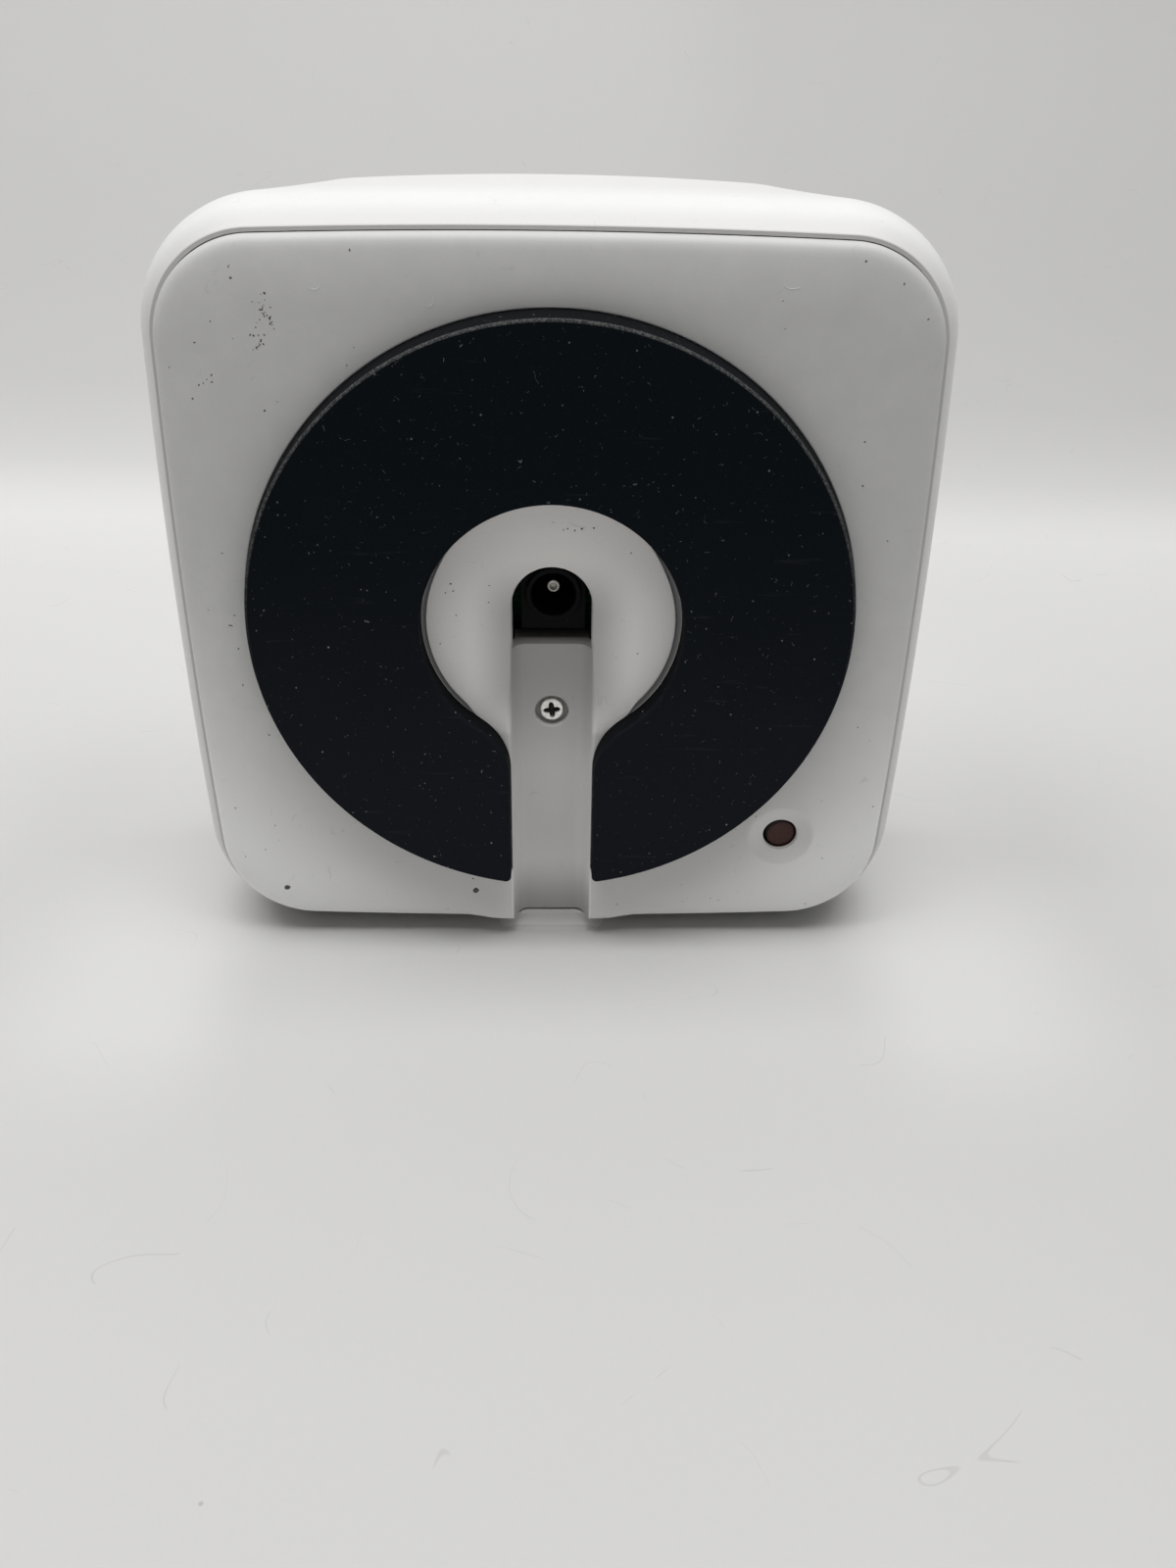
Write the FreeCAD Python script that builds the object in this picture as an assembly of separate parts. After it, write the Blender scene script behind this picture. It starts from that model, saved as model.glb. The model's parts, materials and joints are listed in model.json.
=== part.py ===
import FreeCAD, Part
import math
import os

# Smart hub: a rounded square body standing on its lower side wall, with its base towards -Y.
# Everything is drawn as on the bench: base up, x to the right, y towards the top of the standing hub,
# and depths counted down from the face of the rubber pad. stand() turns the finished pieces upright.

# Body, in millimetres
body_width = 110.0            # across the flat of the side walls
side_bow_radius = 1085.0      # the sides bow out a little
cover_inset = 3.6             # from the widest wall in to the edge of the base cover
cover_corner_radius = 13.5
pad_proud = 3.7               # rubber pad above the cover
rim_drop = 1.55               # edge of the cover below its middle
rear_round_radius = 14.45     # side wall beside the cover
lip_drop = 0.3                # the rounding starts this much deeper than the cover's edge
wall_depth = 2.9              # straight part of the side wall
crown_depth = 15.8            # where the outline gets rounder towards the front
front_bow_radius = 486.0
front_corner_radius = 28.0
front_round_radius = 5.7
front_angles = (30, 60, 90)   # sections round the front edge, in degrees from the side wall
rear_sections = 5
crown_sections = 4
dome_height = 1.6
dome_shares = (1.0, 0.75, 0.5, 0.25, 0.02)
shell_wall = 2.4
lip_flat = 0.55               # flat edge of the shell beside the groove
foot_flat = 0.1               # shaved off the lower side wall so that it stands on a flat strip

# Base cover
groove_width = 0.15           # fine dark groove round the cover
edge_height = 3.0             # straight edge of the cover, down to its ledge
ledge_width = 1.6
ledge_thickness = 2.0
cover_skin = 2.5
skirt_width = 3.0
rim_round_width = 8.5
dish_radius = 17.6            # round dished middle
dish_depth = 0.9
channel_width = 11.0          # cable channel down to the edge
channel_depth = 3.5
channel_corner_radius = 2.4
channel_lip_radius = 0.6
channel_wall = 1.8
ridge_half_width = 8.0        # raised ground beside the mouth of the channel
ridge_slope_width = 6.0
ridge_length = 11.0
ridge_edge_inset = 0.5
ridge_drop = 0.1              # top of the ridge below the middle of the cover
rim_profile = ((0.0, 1.0), (0.05, 0.62), (0.16, 0.38), (0.4, 0.16), (0.72, 0.04), (1.0, 0.0))
arch_height = 2.45            # centre of the round top of the opening above the hub's axis
channel_start = -4.5          # where the channel floor begins
hook_length = 9.0
hook_thickness = 1.1
hook_catch = 0.8              # the catch reaches this far under the ledge, and is as thick
hook_tip = 0.5                # the arm goes on past the catch
hook_spacing = 52.0
cover_fit = 0.1
sink = 0.5                    # how deep a boss, wall or arm roots in the piece that it grows from

# Rubber pad
pad_radius = 42.2
pad_flare = 0.5               # the foot of the pad is this much larger
pad_hole_radius = 18.4
pad_neck_width = 12.4
pad_neck_fillet = 10.0
pad_end_radius = 0.5
pad_edge_radius = 0.4
pad_recess = 0.5              # the pad sits this deep in the cover
pad_clearance = 0.25
adhesive_thickness = 0.2

# Case screw and its insert
screw_height = -15.7          # place of the screw below the hub's axis
screw_head_radius = 1.85
screw_head_height = 1.3
screw_head_sink = 0.5         # top of the head below the channel floor
screw_shank_radius = 0.95
screw_length = 6.0
screw_cross_width = 0.6
screw_cross_depth = 0.8
screw_cross_share = 1.25      # length of the cross, in radii of the head
screw_edge_share = 0.4        # rounding of the head, in heights of the head
counterbore_radius = 2.6
screw_boss_radius = 4.0
screw_boss_height = 1.8
tower_radius = 3.6
insert_radius = 1.6
insert_length = 4.0
insert_bore_radius = 1.0
shank_clearance = 0.25
hole_spare = 1.0              # a screw's hole is this much deeper than the screw

# Power jack
jack_x = 0.2
jack_height = 2.6
jack_depth = 8.0              # mouth of the jack below the pad's face
jack_nose_radius = 4.0
jack_nose_length = 0.8
jack_bore_radius = 3.2
jack_bore_depth = 9.6
jack_body_width = 9.2
jack_body_height = 11.0
jack_pin_radius = 1.05
jack_pin_sink = 2.3           # tip of the pin below the mouth
jack_pin_round = 0.63
jack_spring_width = 2.4
jack_spring_thickness = 0.35
jack_spring_inset = 0.8
jack_body_gap = 0.3           # the arched wall ends this far above the body of the jack
lead_radius = 0.5
lead_length = 1.0             # leads stand out this far behind the board
hole_clearance = 0.15

# Main board
board_inset = 11.0            # from the side walls of the body
board_corner_radius = 8.0
board_depth = 20.0            # face of the board below the pad's face
board_thickness = 1.6
board_boss_radius = 3.2
board_screw_head_radius = 2.1
board_screw_head_height = 1.3
board_screw_radius = 1.0
board_screw_length = 6.0
board_screw_fit = 0.05
board_screw_side_inset = 7.0  # from the edges of the board
board_screw_top_inset = 11.0
board_screw_bottom_inset = 22.0
tower_clearance = 0.5

# Reset button and its switch
button_inset = 15.9           # from the edges of the cover
button_radius = 2.55
button_gap = 0.15
button_sink = 0.3             # top of the button below its dish
button_travel = 0.5
button_flange_radius = 3.5
button_flange_thickness = 0.8
button_stem_radius = 1.5
button_stop_gap = 0.05
button_edge_radius = 0.25
finger_dish_radius = 5.2
finger_dish_depth = 0.9
guide_radius = 4.3
guide_length = 2.7
switch_width = 6.0
switch_height = 3.6
switch_plunger_radius = 1.7
switch_plunger_proud = 1.4
switch_plunger_fit = 0.05
switch_plunger_spare = 0.1    # left under the plunger when it is pressed
switch_floor = 1.0
switch_leg_proud = 0.6        # legs stand out behind the board
switch_leg_width = 0.7
switch_leg_thickness = 0.3

# Parts on the board
chip_gap = 0.05
processor_x = -18.0
processor_y = 10.0
processor_width = 14.0
processor_thickness = 1.2
thermal_pad_width = 12.0
shield_width = 26.0
shield_height = 2.8
shield_sheet = 0.3
shield_rim = 2.0
memory_x = 5.0
memory_y = 20.0
memory_width = 9.0
memory_length = 11.0
memory_thickness = 1.0
wifi_x = 26.0
wifi_y = 14.0
wifi_width = 13.0
wifi_length = 17.0
mesh_x = 14.0
mesh_y = -32.0
mesh_width = 16.0
mesh_length = 12.0
module_board = 0.8
module_can_height = 1.8
module_can_inset = 1.2        # can from the edges of its board
module_aerial = 2.4           # bare end of the board
inductor_x = 17.0
inductor_y = -8.0
inductor_width = 7.0
inductor_height = 4.0
power_chip_x = 17.0
power_chip_y = 5.0
power_chip_width = 5.0
power_chip_thickness = 1.5
capacitor_x = -16.0
capacitor_y = -6.0
capacitor_count = 2
capacitor_spacing = 9.5
capacitor_radius = 3.15
capacitor_height = 7.7
capacitor_base = 6.6
capacitor_base_thickness = 1.2
crystal_x = 5.0
crystal_y = 8.0
crystal_width = 3.2
crystal_length = 2.5
crystal_thickness = 0.8
small_part_width = 1.6
small_part_length = 0.8
small_part_height = 0.6
small_part_pitch = 3.0
small_part_row_pitch = 2.1
small_part_rows = 3
small_part_columns = 5
small_part_x = -14.0
small_part_y = -26.0
antenna_length = 16.0
antenna_height = 7.0
antenna_arm = 4.0
antenna_sheet = 0.4
antenna_foot_width = 2.0
antenna_foot_length = 4.0
antenna_inset = 3.0           # from the board's edge
wifi_antenna_y = 8.0
mesh_antenna_x = -20.0
led_y = 37.0
led_width = 2.0
led_length = 1.4
led_height = 0.8
pipe_radius = 1.5
pipe_gap = 0.3
pipe_fit = 0.1
pipe_collar_radius = 2.6
pipe_collar_thickness = 1.2
pipe_collar_seat = 1.0        # the collar sits this far inside the front wall
pipe_ring_wall = 1.4
pipe_ring_height = 4.0

# Worked out from the sizes above
half_width = body_width / 2
cover_half = half_width - cover_inset
cover_depth = pad_proud
parting_depth = pad_proud + rim_drop
arc_inset = rear_round_radius - cover_inset
widest_depth = parting_depth + lip_drop + math.sqrt(rear_round_radius ** 2 - arc_inset ** 2)
straight_end = widest_depth + wall_depth
crown_end = straight_end + crown_depth
dome_start = crown_end + front_round_radius
body_depth = dome_start + dome_height
ledge_top = parting_depth + edge_height
ledge_bottom = ledge_top + ledge_thickness
floor_depth = cover_depth + channel_depth
cover_inside = cover_depth + cover_skin
recess_floor = cover_depth + pad_recess
pad_bottom = recess_floor - adhesive_thickness
screw_seat = floor_depth + screw_head_sink + screw_head_height
boss_end = screw_seat + screw_boss_height
board_back = board_depth + board_thickness
front_inside = body_depth - shell_wall
chip_start = board_back + chip_gap
lip_inset = arc_inset + groove_width + lip_flat
shell_start = widest_depth - math.sqrt(rear_round_radius ** 2 - lip_inset ** 2)
jack_spring_height = jack_height + jack_bore_radius + jack_spring_thickness / 2
pipe_collar_end = front_inside - pipe_collar_seat
button_place = cover_half - button_inset
board_width = body_width - 2 * board_inset
past = 1.0                    # cutters run this far past the faces that they cut
edge_match = 0.01


def vec(x, y, depth):
    return FreeCAD.Vector(x, y, -depth)


def block(x, y, start, width, length, thickness):
    """A box centred on x, y, reaching from one depth down by its thickness."""
    return Part.makeBox(width, length, thickness, vec(x - width / 2, y - length / 2, start + thickness))


def rod(x, y, start, radius, length):
    """A cylinder along the depth, from its upper end."""
    return Part.makeCylinder(radius, length, vec(x, y, start + length))


def rims_at(shape, depth):
    """The edges of a shape that lie flat at a depth."""
    found = []
    for edge in shape.Edges:
        box = edge.BoundBox
        if abs(box.ZMin + depth) < edge_match and abs(box.ZMax + depth) < edge_match:
            found.append(edge)
    return found


def fuse(first, *others):
    return first.fuse(list(others)).removeSplitter()


def cut(first, *others):
    return first.cut(list(others))


def stand(shape):
    """Turns a piece from the bench to the standing hub: origin under its middle, base towards -Y."""
    placed = shape.copy()
    placed.rotate(FreeCAD.Vector(0, 0, 0), FreeCAD.Vector(1, 0, 0), 90)
    placed.translate(FreeCAD.Vector(0, -body_depth / 2, half_width - foot_flat))
    return placed


def export(name, *solids):
    pieces = [stand(solid) for solid in solids]
    shape = pieces[0] if len(pieces) == 1 else Part.makeCompound(pieces)
    shape.exportStep("parts/" + name + ".step")
    print(name, len(shape.Solids), round(shape.Volume, 2), shape.isValid())


def bowed_square(half, bow, corner, depth):
    """A square with bowed sides and round corners, as one closed wire of eight arcs."""
    reach = bow - half
    centre = (math.sqrt(2 * (bow - corner) ** 2 - reach ** 2) - reach) / 2
    share = bow / (bow - corner)
    near = centre * share
    far = (centre + reach) * share - reach
    diagonal = centre + corner / math.sqrt(2)
    edges = []
    for turn in range(4):
        points = [(-near, far), (0, half), (near, far), (diagonal, diagonal), (far, near)]
        for _ in range(turn):
            points = [(y, -x) for x, y in points]
        spots = [vec(x, y, depth) for x, y in points]
        edges.append(Part.Arc(spots[0], spots[1], spots[2]).toShape())
        edges.append(Part.Arc(spots[2], spots[3], spots[4]).toShape())
    return Part.Wire(edges)


def cover_outline(offset, depth):
    """The cover's edge, moved out by an offset."""
    return bowed_square(cover_half + offset, side_bow_radius + offset, cover_corner_radius + offset, depth)


def prism(wire, thickness):
    """Straight down from a wire."""
    return Part.Face(wire).extrude(FreeCAD.Vector(0, 0, -thickness))


def shell_section(depth, wall):
    """Half width, bow and corner radius of the body at a depth, wall inside its outer face."""
    rise = 0.0
    if depth < widest_depth:
        drop = widest_depth - depth
        rise = rear_round_radius - math.sqrt(rear_round_radius ** 2 - drop ** 2)
    share = min(max((depth - straight_end) / crown_depth, 0.0), 1.0)
    bow = 1 / ((1 - share) / side_bow_radius + share / front_bow_radius)
    corner = cover_corner_radius + cover_inset
    corner = corner + (front_corner_radius - corner) * share
    inset = rise + wall
    return half_width - inset, bow - inset, corner - inset


def front_sections(wall):
    """Sections round the front edge."""
    radius = front_round_radius - wall
    half, bow, corner = shell_section(crown_end, wall)
    sections = []
    for angle in front_angles:
        turn = math.radians(angle)
        inset = radius * (1 - math.cos(turn))
        depth = crown_end + radius * math.sin(turn)
        sections.append(bowed_square(half - inset, bow - inset, corner - inset, depth))
    return sections


def dome(wall):
    """The gently domed front: outlines that shrink towards the middle while they rise."""
    half, bow, corner = shell_section(crown_end, wall)
    inset = front_round_radius - wall
    sections = []
    for share in dome_shares:
        depth = dome_start - wall + dome_height * (1 - share ** 2)
        sections.append(bowed_square((half - inset) * share, (bow - inset) * share,
                                     (corner - inset) * share, depth))
    return Part.makeLoft(sections, True, False)


def body_solid(start, wall):
    """The whole body from a depth to its front, wall inside the outer face."""
    depths = [start + (widest_depth - start) * step / rear_sections for step in range(rear_sections)]
    depths.append(widest_depth)
    for step in range(crown_sections + 1):
        depths.append(straight_end + crown_depth * step / crown_sections)
    sections = []
    for depth in depths:
        half, bow, corner = shell_section(depth, wall)
        sections.append(bowed_square(half, bow, corner, depth))
    body = Part.makeLoft(sections + front_sections(wall), True, False)
    return fuse(body, dome(wall))


def keyhole(clearance):
    """Outline of the pad's hole: a circle that runs through fillets into a straight neck."""
    radius = pad_hole_radius - clearance
    neck = pad_neck_width / 2 - clearance
    fillet = pad_neck_fillet + clearance
    centre_x = neck + fillet
    centre_y = -math.sqrt((radius + fillet) ** 2 - centre_x ** 2)
    share = radius / (radius + fillet)
    touch = (centre_x * share, centre_y * share)
    slant = math.atan2(touch[1] - centre_y, touch[0] - centre_x)
    middle = (slant + math.pi) / 2
    bend = (centre_x + fillet * math.cos(middle), centre_y + fillet * math.sin(middle))
    end = -half_width - past
    right = [(neck, end), (neck, centre_y), bend, touch]
    left = [(-x, y) for x, y in right]
    edges = [
        Part.LineSegment(vec(*right[0], 0), vec(*right[1], 0)).toShape(),
        Part.Arc(vec(*right[1], 0), vec(*right[2], 0), vec(*right[3], 0)).toShape(),
        Part.Arc(vec(*right[3], 0), vec(0, radius, 0), vec(*left[3], 0)).toShape(),
        Part.Arc(vec(*left[3], 0), vec(*left[2], 0), vec(*left[1], 0)).toShape(),
        Part.LineSegment(vec(*left[1], 0), vec(*left[0], 0)).toShape(),
        Part.LineSegment(vec(*left[0], 0), vec(*right[0], 0)).toShape(),
    ]
    return Part.Wire(edges)


def pad_ring(radius, clearance, start, thickness):
    """A flat ring with the keyhole through it."""
    hole = prism(keyhole(clearance), thickness + 2 * past)
    hole.translate(vec(0, 0, start - past))
    return cut(rod(0, 0, start, radius, thickness), hole)


def arch(half, start, thickness):
    """The opening's shape: a round top on a straight sided foot."""
    foot = channel_start + channel_width / 2 - half
    points = [vec(half, foot, start), vec(half, arch_height, start), vec(0, arch_height + half, start)]
    points = points + [vec(-half, arch_height, start), vec(-half, foot, start)]
    edges = [
        Part.LineSegment(points[0], points[1]).toShape(),
        Part.Arc(points[1], points[2], points[3]).toShape(),
        Part.LineSegment(points[3], points[4]).toShape(),
        Part.LineSegment(points[4], points[0]).toShape(),
    ]
    return prism(Part.Wire(edges), thickness)


def channel_cutter():
    """The cable channel: a flat floor with round corners and rounded lips, out past the edge."""
    side = channel_width / 2
    lip = channel_lip_radius
    corner = channel_corner_radius
    slope = 1 / math.sqrt(2)

    def at(x, depth):
        return FreeCAD.Vector(x, channel_start, -depth)

    def mirrored(edge):
        return edge.mirror(FreeCAD.Vector(0, 0, 0), FreeCAD.Vector(1, 0, 0))

    half = [
        Part.LineSegment(at(side + lip, 0), at(side + lip, cover_depth)).toShape(),
        Part.Arc(at(side + lip, cover_depth), at(side + lip * (1 - slope), cover_depth + lip * (1 - slope)),
                 at(side, cover_depth + lip)).toShape(),
        Part.LineSegment(at(side, cover_depth + lip), at(side, floor_depth - corner)).toShape(),
        Part.Arc(at(side, floor_depth - corner),
                 at(side - corner * (1 - slope), floor_depth - corner * (1 - slope)),
                 at(side - corner, floor_depth)).toShape(),
    ]
    ends = [
        Part.LineSegment(at(side - corner, floor_depth), at(corner - side, floor_depth)).toShape(),
        Part.LineSegment(at(-side - lip, 0), at(side + lip, 0)).toShape(),
    ]
    edges = half + [mirrored(edge) for edge in half] + ends
    wire = Part.Wire(Part.__sortEdges__(edges))
    return Part.Face(wire).extrude(FreeCAD.Vector(0, -half_width, 0))


def hooks():
    """Snap hooks along the four sides of the cover, each with a catch that hooks under the ledge."""
    found = []
    hook_end = (hook_spacing + hook_length) / 2
    arm_outer = cover_half - ledge_width - cover_fit - hook_end ** 2 / (2 * side_bow_radius)
    arm_start = ledge_top - sink
    catch_start = ledge_bottom + cover_fit
    arm_length = catch_start + hook_catch + hook_tip - arm_start
    arm_middle = arm_outer - hook_thickness / 2
    catch_width = hook_thickness + hook_catch
    catch_middle = arm_outer + hook_catch - catch_width / 2
    for side in range(4):
        for place in (-hook_spacing / 2, hook_spacing / 2):
            arm = block(place, arm_middle, arm_start, hook_length, hook_thickness, arm_length)
            catch = block(place, catch_middle, catch_start, hook_length, catch_width, hook_catch)
            hook = arm.fuse(catch)
            hook.rotate(FreeCAD.Vector(0, 0, 0), FreeCAD.Vector(0, 0, 1), 90 * side)
            found.append(hook)
    return found


def finger_dish():
    """The shallow round dip over the reset button."""
    ball = (finger_dish_radius ** 2 + finger_dish_depth ** 2) / (2 * finger_dish_depth)
    return Part.makeSphere(ball, vec(button_place, -button_place, cover_depth + finger_dish_depth - ball))


def ridge():
    """Raised ground on both sides of the channel's mouth, sloping away to the sides."""
    top = cover_depth + ridge_drop
    low = cover_depth + rim_drop
    start = -cover_half + ridge_length
    wide = ridge_half_width + ridge_slope_width
    spots = [(-wide, low), (-ridge_half_width, top), (ridge_half_width, top), (wide, low)]
    wire = Part.makePolygon([vec(x, start, depth) for x, depth in spots + spots[:1]])
    wedge = Part.Face(wire).extrude(FreeCAD.Vector(0, -ridge_length, 0))
    return wedge.common(prism(cover_outline(-ridge_edge_inset, top), rim_drop))


def base_cover():
    rim = []
    for share, fall in rim_profile:
        rim.append(cover_outline(-rim_round_width * share, cover_depth + rim_drop * fall))
    crown = Part.makeLoft(rim[::-1], True, False)
    edge = prism(cover_outline(0, parting_depth), edge_height)
    pocket = prism(cover_outline(-skirt_width, cover_inside), ledge_top)
    cover = cut(crown.fuse([edge, ridge()]), pocket)
    block_width = channel_width + 2 * channel_wall
    block_end = cover_half - ledge_width - cover_fit
    root = cover_inside - sink
    channel_block = block(0, (channel_start - block_end) / 2, root, block_width, block_end + channel_start,
                          floor_depth + channel_wall - root)
    chimney_end = jack_depth + jack_nose_length - jack_body_gap
    chimney = arch(channel_width / 2 + channel_wall, root, chimney_end - root)
    boss = rod(0, screw_height, floor_depth + sink, screw_boss_radius, boss_end - floor_depth - sink)
    guide = rod(button_place, -button_place, root, guide_radius, guide_length + sink)
    cover = cover.fuse([channel_block, chimney, boss, guide] + hooks())
    dish_ball = (dish_radius ** 2 + dish_depth ** 2) / (2 * dish_depth)
    dish = Part.makeSphere(dish_ball, vec(0, 0, cover_depth + dish_depth - dish_ball))
    recess = pad_ring(pad_radius + pad_flare + pad_clearance, pad_clearance, cover_depth - past,
                      pad_recess + past)
    hole = rod(button_place, -button_place, 0, button_radius + button_gap, board_depth)
    counterbore = rod(0, screw_height, 0, counterbore_radius, screw_seat)
    screw_hole = rod(0, screw_height, 0, screw_shank_radius + shank_clearance, board_depth)
    opening = arch(channel_width / 2, 0, board_depth)
    cutters = [dish, recess, channel_cutter(), finger_dish(), hole, counterbore, screw_hole, opening]
    for cutter in cutters:
        cover = cover.cut(cutter)
    return cover.removeSplitter()


def outer_shell():
    body = body_solid(shell_start, 0)
    inside = body_solid(ledge_bottom, shell_wall)
    rebate = prism(cover_outline(groove_width, 0), ledge_top)
    mouth = prism(cover_outline(-ledge_width, 0), ledge_bottom + past)
    foot = block(0, -half_width - body_width / 2 + foot_flat, 0, body_width, body_width, body_depth)
    shell = cut(body, inside, rebate, mouth, channel_cutter(), foot)
    posts_end = front_inside + sink
    posts = [rod(0, screw_height, boss_end, tower_radius, posts_end - boss_end)]
    for x, y in board_screw_places():
        posts.append(rod(x, y, board_back, board_boss_radius, posts_end - board_back))
    posts.append(rod(0, led_y, front_inside - pipe_ring_height, pipe_collar_radius + pipe_ring_wall,
                     pipe_ring_height + sink))
    drills = [rod(0, screw_height, boss_end, insert_radius, insert_length)]
    drills.append(rod(0, screw_height, screw_seat, screw_shank_radius + shank_clearance,
                      screw_length + hole_spare))
    for x, y in board_screw_places():
        drills.append(rod(x, y, board_depth, board_screw_radius, board_screw_length + hole_spare))
    drills.append(rod(0, led_y, board_back, pipe_radius + pipe_fit, body_depth))
    drills.append(rod(0, led_y, board_back, pipe_collar_radius + pipe_fit, pipe_collar_end - board_back))
    return shell.fuse(posts).cut(drills)


def board_screw_places():
    side = board_width / 2 - board_screw_side_inset
    top = board_width / 2 - board_screw_top_inset
    bottom = board_screw_bottom_inset - board_width / 2
    return [(x, y) for x in (-side, side) for y in (bottom, top)]


def rubber_pad():
    foot = pad_radius + pad_flare
    body = Part.makeCone(foot, pad_radius, pad_bottom, vec(0, 0, pad_bottom))
    body = body.makeFillet(pad_edge_radius, rims_at(body, 0))
    hole = prism(keyhole(0), pad_bottom + 2 * past)
    hole.translate(vec(0, 0, -past))
    pad = body.cut(hole)
    ends = []
    for edge in pad.Edges:
        box = edge.BoundBox
        if box.ZLength > pad_bottom / 2 and box.YMax < -pad_hole_radius - pad_neck_fillet:
            ends.append(edge)
    return pad.makeFillet(pad_end_radius, ends)


def screw(x, y, seat, head_radius, head_height, shank_radius, length):
    """A pan head screw with a cross in its head."""
    top = seat - head_height
    head = rod(x, y, top, head_radius, head_height)
    head = head.makeFillet(head_height * screw_edge_share, rims_at(head, top))
    body = fuse(head, rod(x, y, seat, shank_radius, length))
    long_side = head_radius * screw_cross_share
    bars = [block(x, y, top, long_side, screw_cross_width, screw_cross_depth),
            block(x, y, top, screw_cross_width, long_side, screw_cross_depth)]
    return body.cut(bars)


def jack_pieces():
    body_start = jack_depth + jack_nose_length
    body = block(jack_x, jack_height, body_start, jack_body_width, jack_body_height,
                 board_depth - body_start)
    nose = rod(jack_x, jack_height, jack_depth, jack_nose_radius, jack_nose_length + sink)
    bore = rod(jack_x, jack_height, jack_depth, jack_bore_radius, jack_bore_depth)
    pin_start = jack_depth + jack_pin_sink
    pin_rod = rod(jack_x, jack_height, pin_start, jack_pin_radius, board_depth - pin_start)
    tail_length = board_thickness + lead_length
    pin_tail = rod(jack_x, jack_height, board_depth, lead_radius, tail_length)
    pin = fuse(pin_rod.makeFillet(jack_pin_round, rims_at(pin_rod, pin_start)), pin_tail)
    spring_start = body_start + jack_spring_inset
    strip = block(jack_x, jack_spring_height, spring_start, jack_spring_width, jack_spring_thickness,
                  board_depth - spring_start)
    leg = block(jack_x, jack_spring_height, board_depth, 2 * lead_radius, jack_spring_thickness,
                tail_length)
    housing = body.fuse(nose).cut([bore, strip, pin_rod])
    return housing.removeSplitter(), pin, fuse(strip, leg)


def main_board():
    plate = block(0, 0, board_depth, board_width, board_width, board_thickness)
    corners = [edge for edge in plate.Edges if edge.BoundBox.ZLength > board_thickness / 2]
    plate = plate.makeFillet(board_corner_radius, corners)
    places = [(0, screw_height, tower_radius + tower_clearance)]
    places = places + [(x, y, board_screw_radius + hole_clearance) for x, y in board_screw_places()]
    places = places + [(jack_x, y, lead_radius + hole_clearance) for y in (jack_height, jack_spring_height)]
    places = places + [(x, y, switch_leg_width / 2 + hole_clearance) for x, y in switch_leg_places()]
    start = board_depth - past
    return plate.cut([rod(x, y, start, radius, board_thickness + 2 * past) for x, y, radius in places])


def switch_leg_places():
    reach = switch_width / 2 + switch_leg_thickness / 2
    row = switch_width / 4
    return [(button_place + side * reach, -button_place + end * row) for side in (-1, 1) for end in (-1, 1)]


def reset_switch():
    top = board_depth - switch_height
    x = button_place
    y = -button_place
    body = block(x, y, top, switch_width, switch_width, switch_height)
    pocket_depth = switch_height - switch_floor
    pocket = rod(x, y, top, switch_plunger_radius + switch_plunger_fit, pocket_depth)
    plunger_start = top - switch_plunger_proud
    plunger_length = switch_plunger_proud + pocket_depth - button_travel - switch_plunger_spare
    plunger = rod(x, y, plunger_start, switch_plunger_radius, plunger_length)
    legs = []
    for leg_x, leg_y in switch_leg_places():
        legs.append(block(leg_x, leg_y, top + switch_height / 2, switch_leg_thickness, switch_leg_width,
                          switch_height / 2 + board_thickness + switch_leg_proud))
    return body.cut(pocket), plunger, legs, plunger_start


def reset_button(stem_end):
    x = button_place
    y = -button_place
    top = cover_depth + finger_dish_depth + button_sink
    flange_start = cover_inside + guide_length + button_stop_gap
    cap = rod(x, y, top, button_radius, flange_start + button_flange_thickness - top)
    cap = cap.makeFillet(button_edge_radius, rims_at(cap, top))
    flange = rod(x, y, flange_start, button_flange_radius, button_flange_thickness)
    stem = rod(x, y, flange_start, button_stem_radius, stem_end - flange_start)
    return fuse(cap, flange, stem)


def shield():
    wall_height = shield_height - shield_sheet
    hollow = shield_width - 2 * shield_sheet
    window = shield_width - 2 * shield_rim
    outer = block(processor_x, processor_y, chip_start, shield_width, shield_width, wall_height)
    inner = block(processor_x, processor_y, chip_start - past, hollow, hollow,
                  wall_height - shield_sheet + past)
    opening = block(processor_x, processor_y, chip_start - past, window, window, shield_height + 2 * past)
    lid = block(processor_x, processor_y, chip_start + wall_height, shield_width, shield_width,
                shield_sheet)
    return outer.cut([inner, opening]), lid


def radio_module(x, y, width, length):
    """A small board with a metal can on it, soldered on the main board."""
    board = block(x, y, chip_start, width, length, module_board)
    can_width = width - 2 * module_can_inset
    can_length = length - 2 * module_can_inset - module_aerial
    can = block(x, y - module_aerial / 2, chip_start + module_board, can_width, can_length,
                module_can_height)
    return board, can


def antenna(x, y, turn):
    """A stamped antenna: a foot on the board, an upright sheet and an arm folded over."""
    foot = block(x, y, chip_start, antenna_foot_width, antenna_foot_length, antenna_sheet)
    upright = block(x, y, chip_start, antenna_sheet, antenna_length, antenna_height)
    arm = block(x + antenna_arm / 2, y, chip_start + antenna_height - antenna_sheet, antenna_arm,
                antenna_length, antenna_sheet)
    piece = fuse(upright, foot, arm)
    piece.rotate(vec(x, y, 0), FreeCAD.Vector(0, 0, 1), turn)
    return piece


def antennas():
    edge = board_width / 2 - antenna_inset
    wifi = [antenna(-edge, wifi_antenna_y, 0), antenna(edge, wifi_antenna_y, 180)]
    return wifi, antenna(mesh_antenna_x, -edge, 90)


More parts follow.
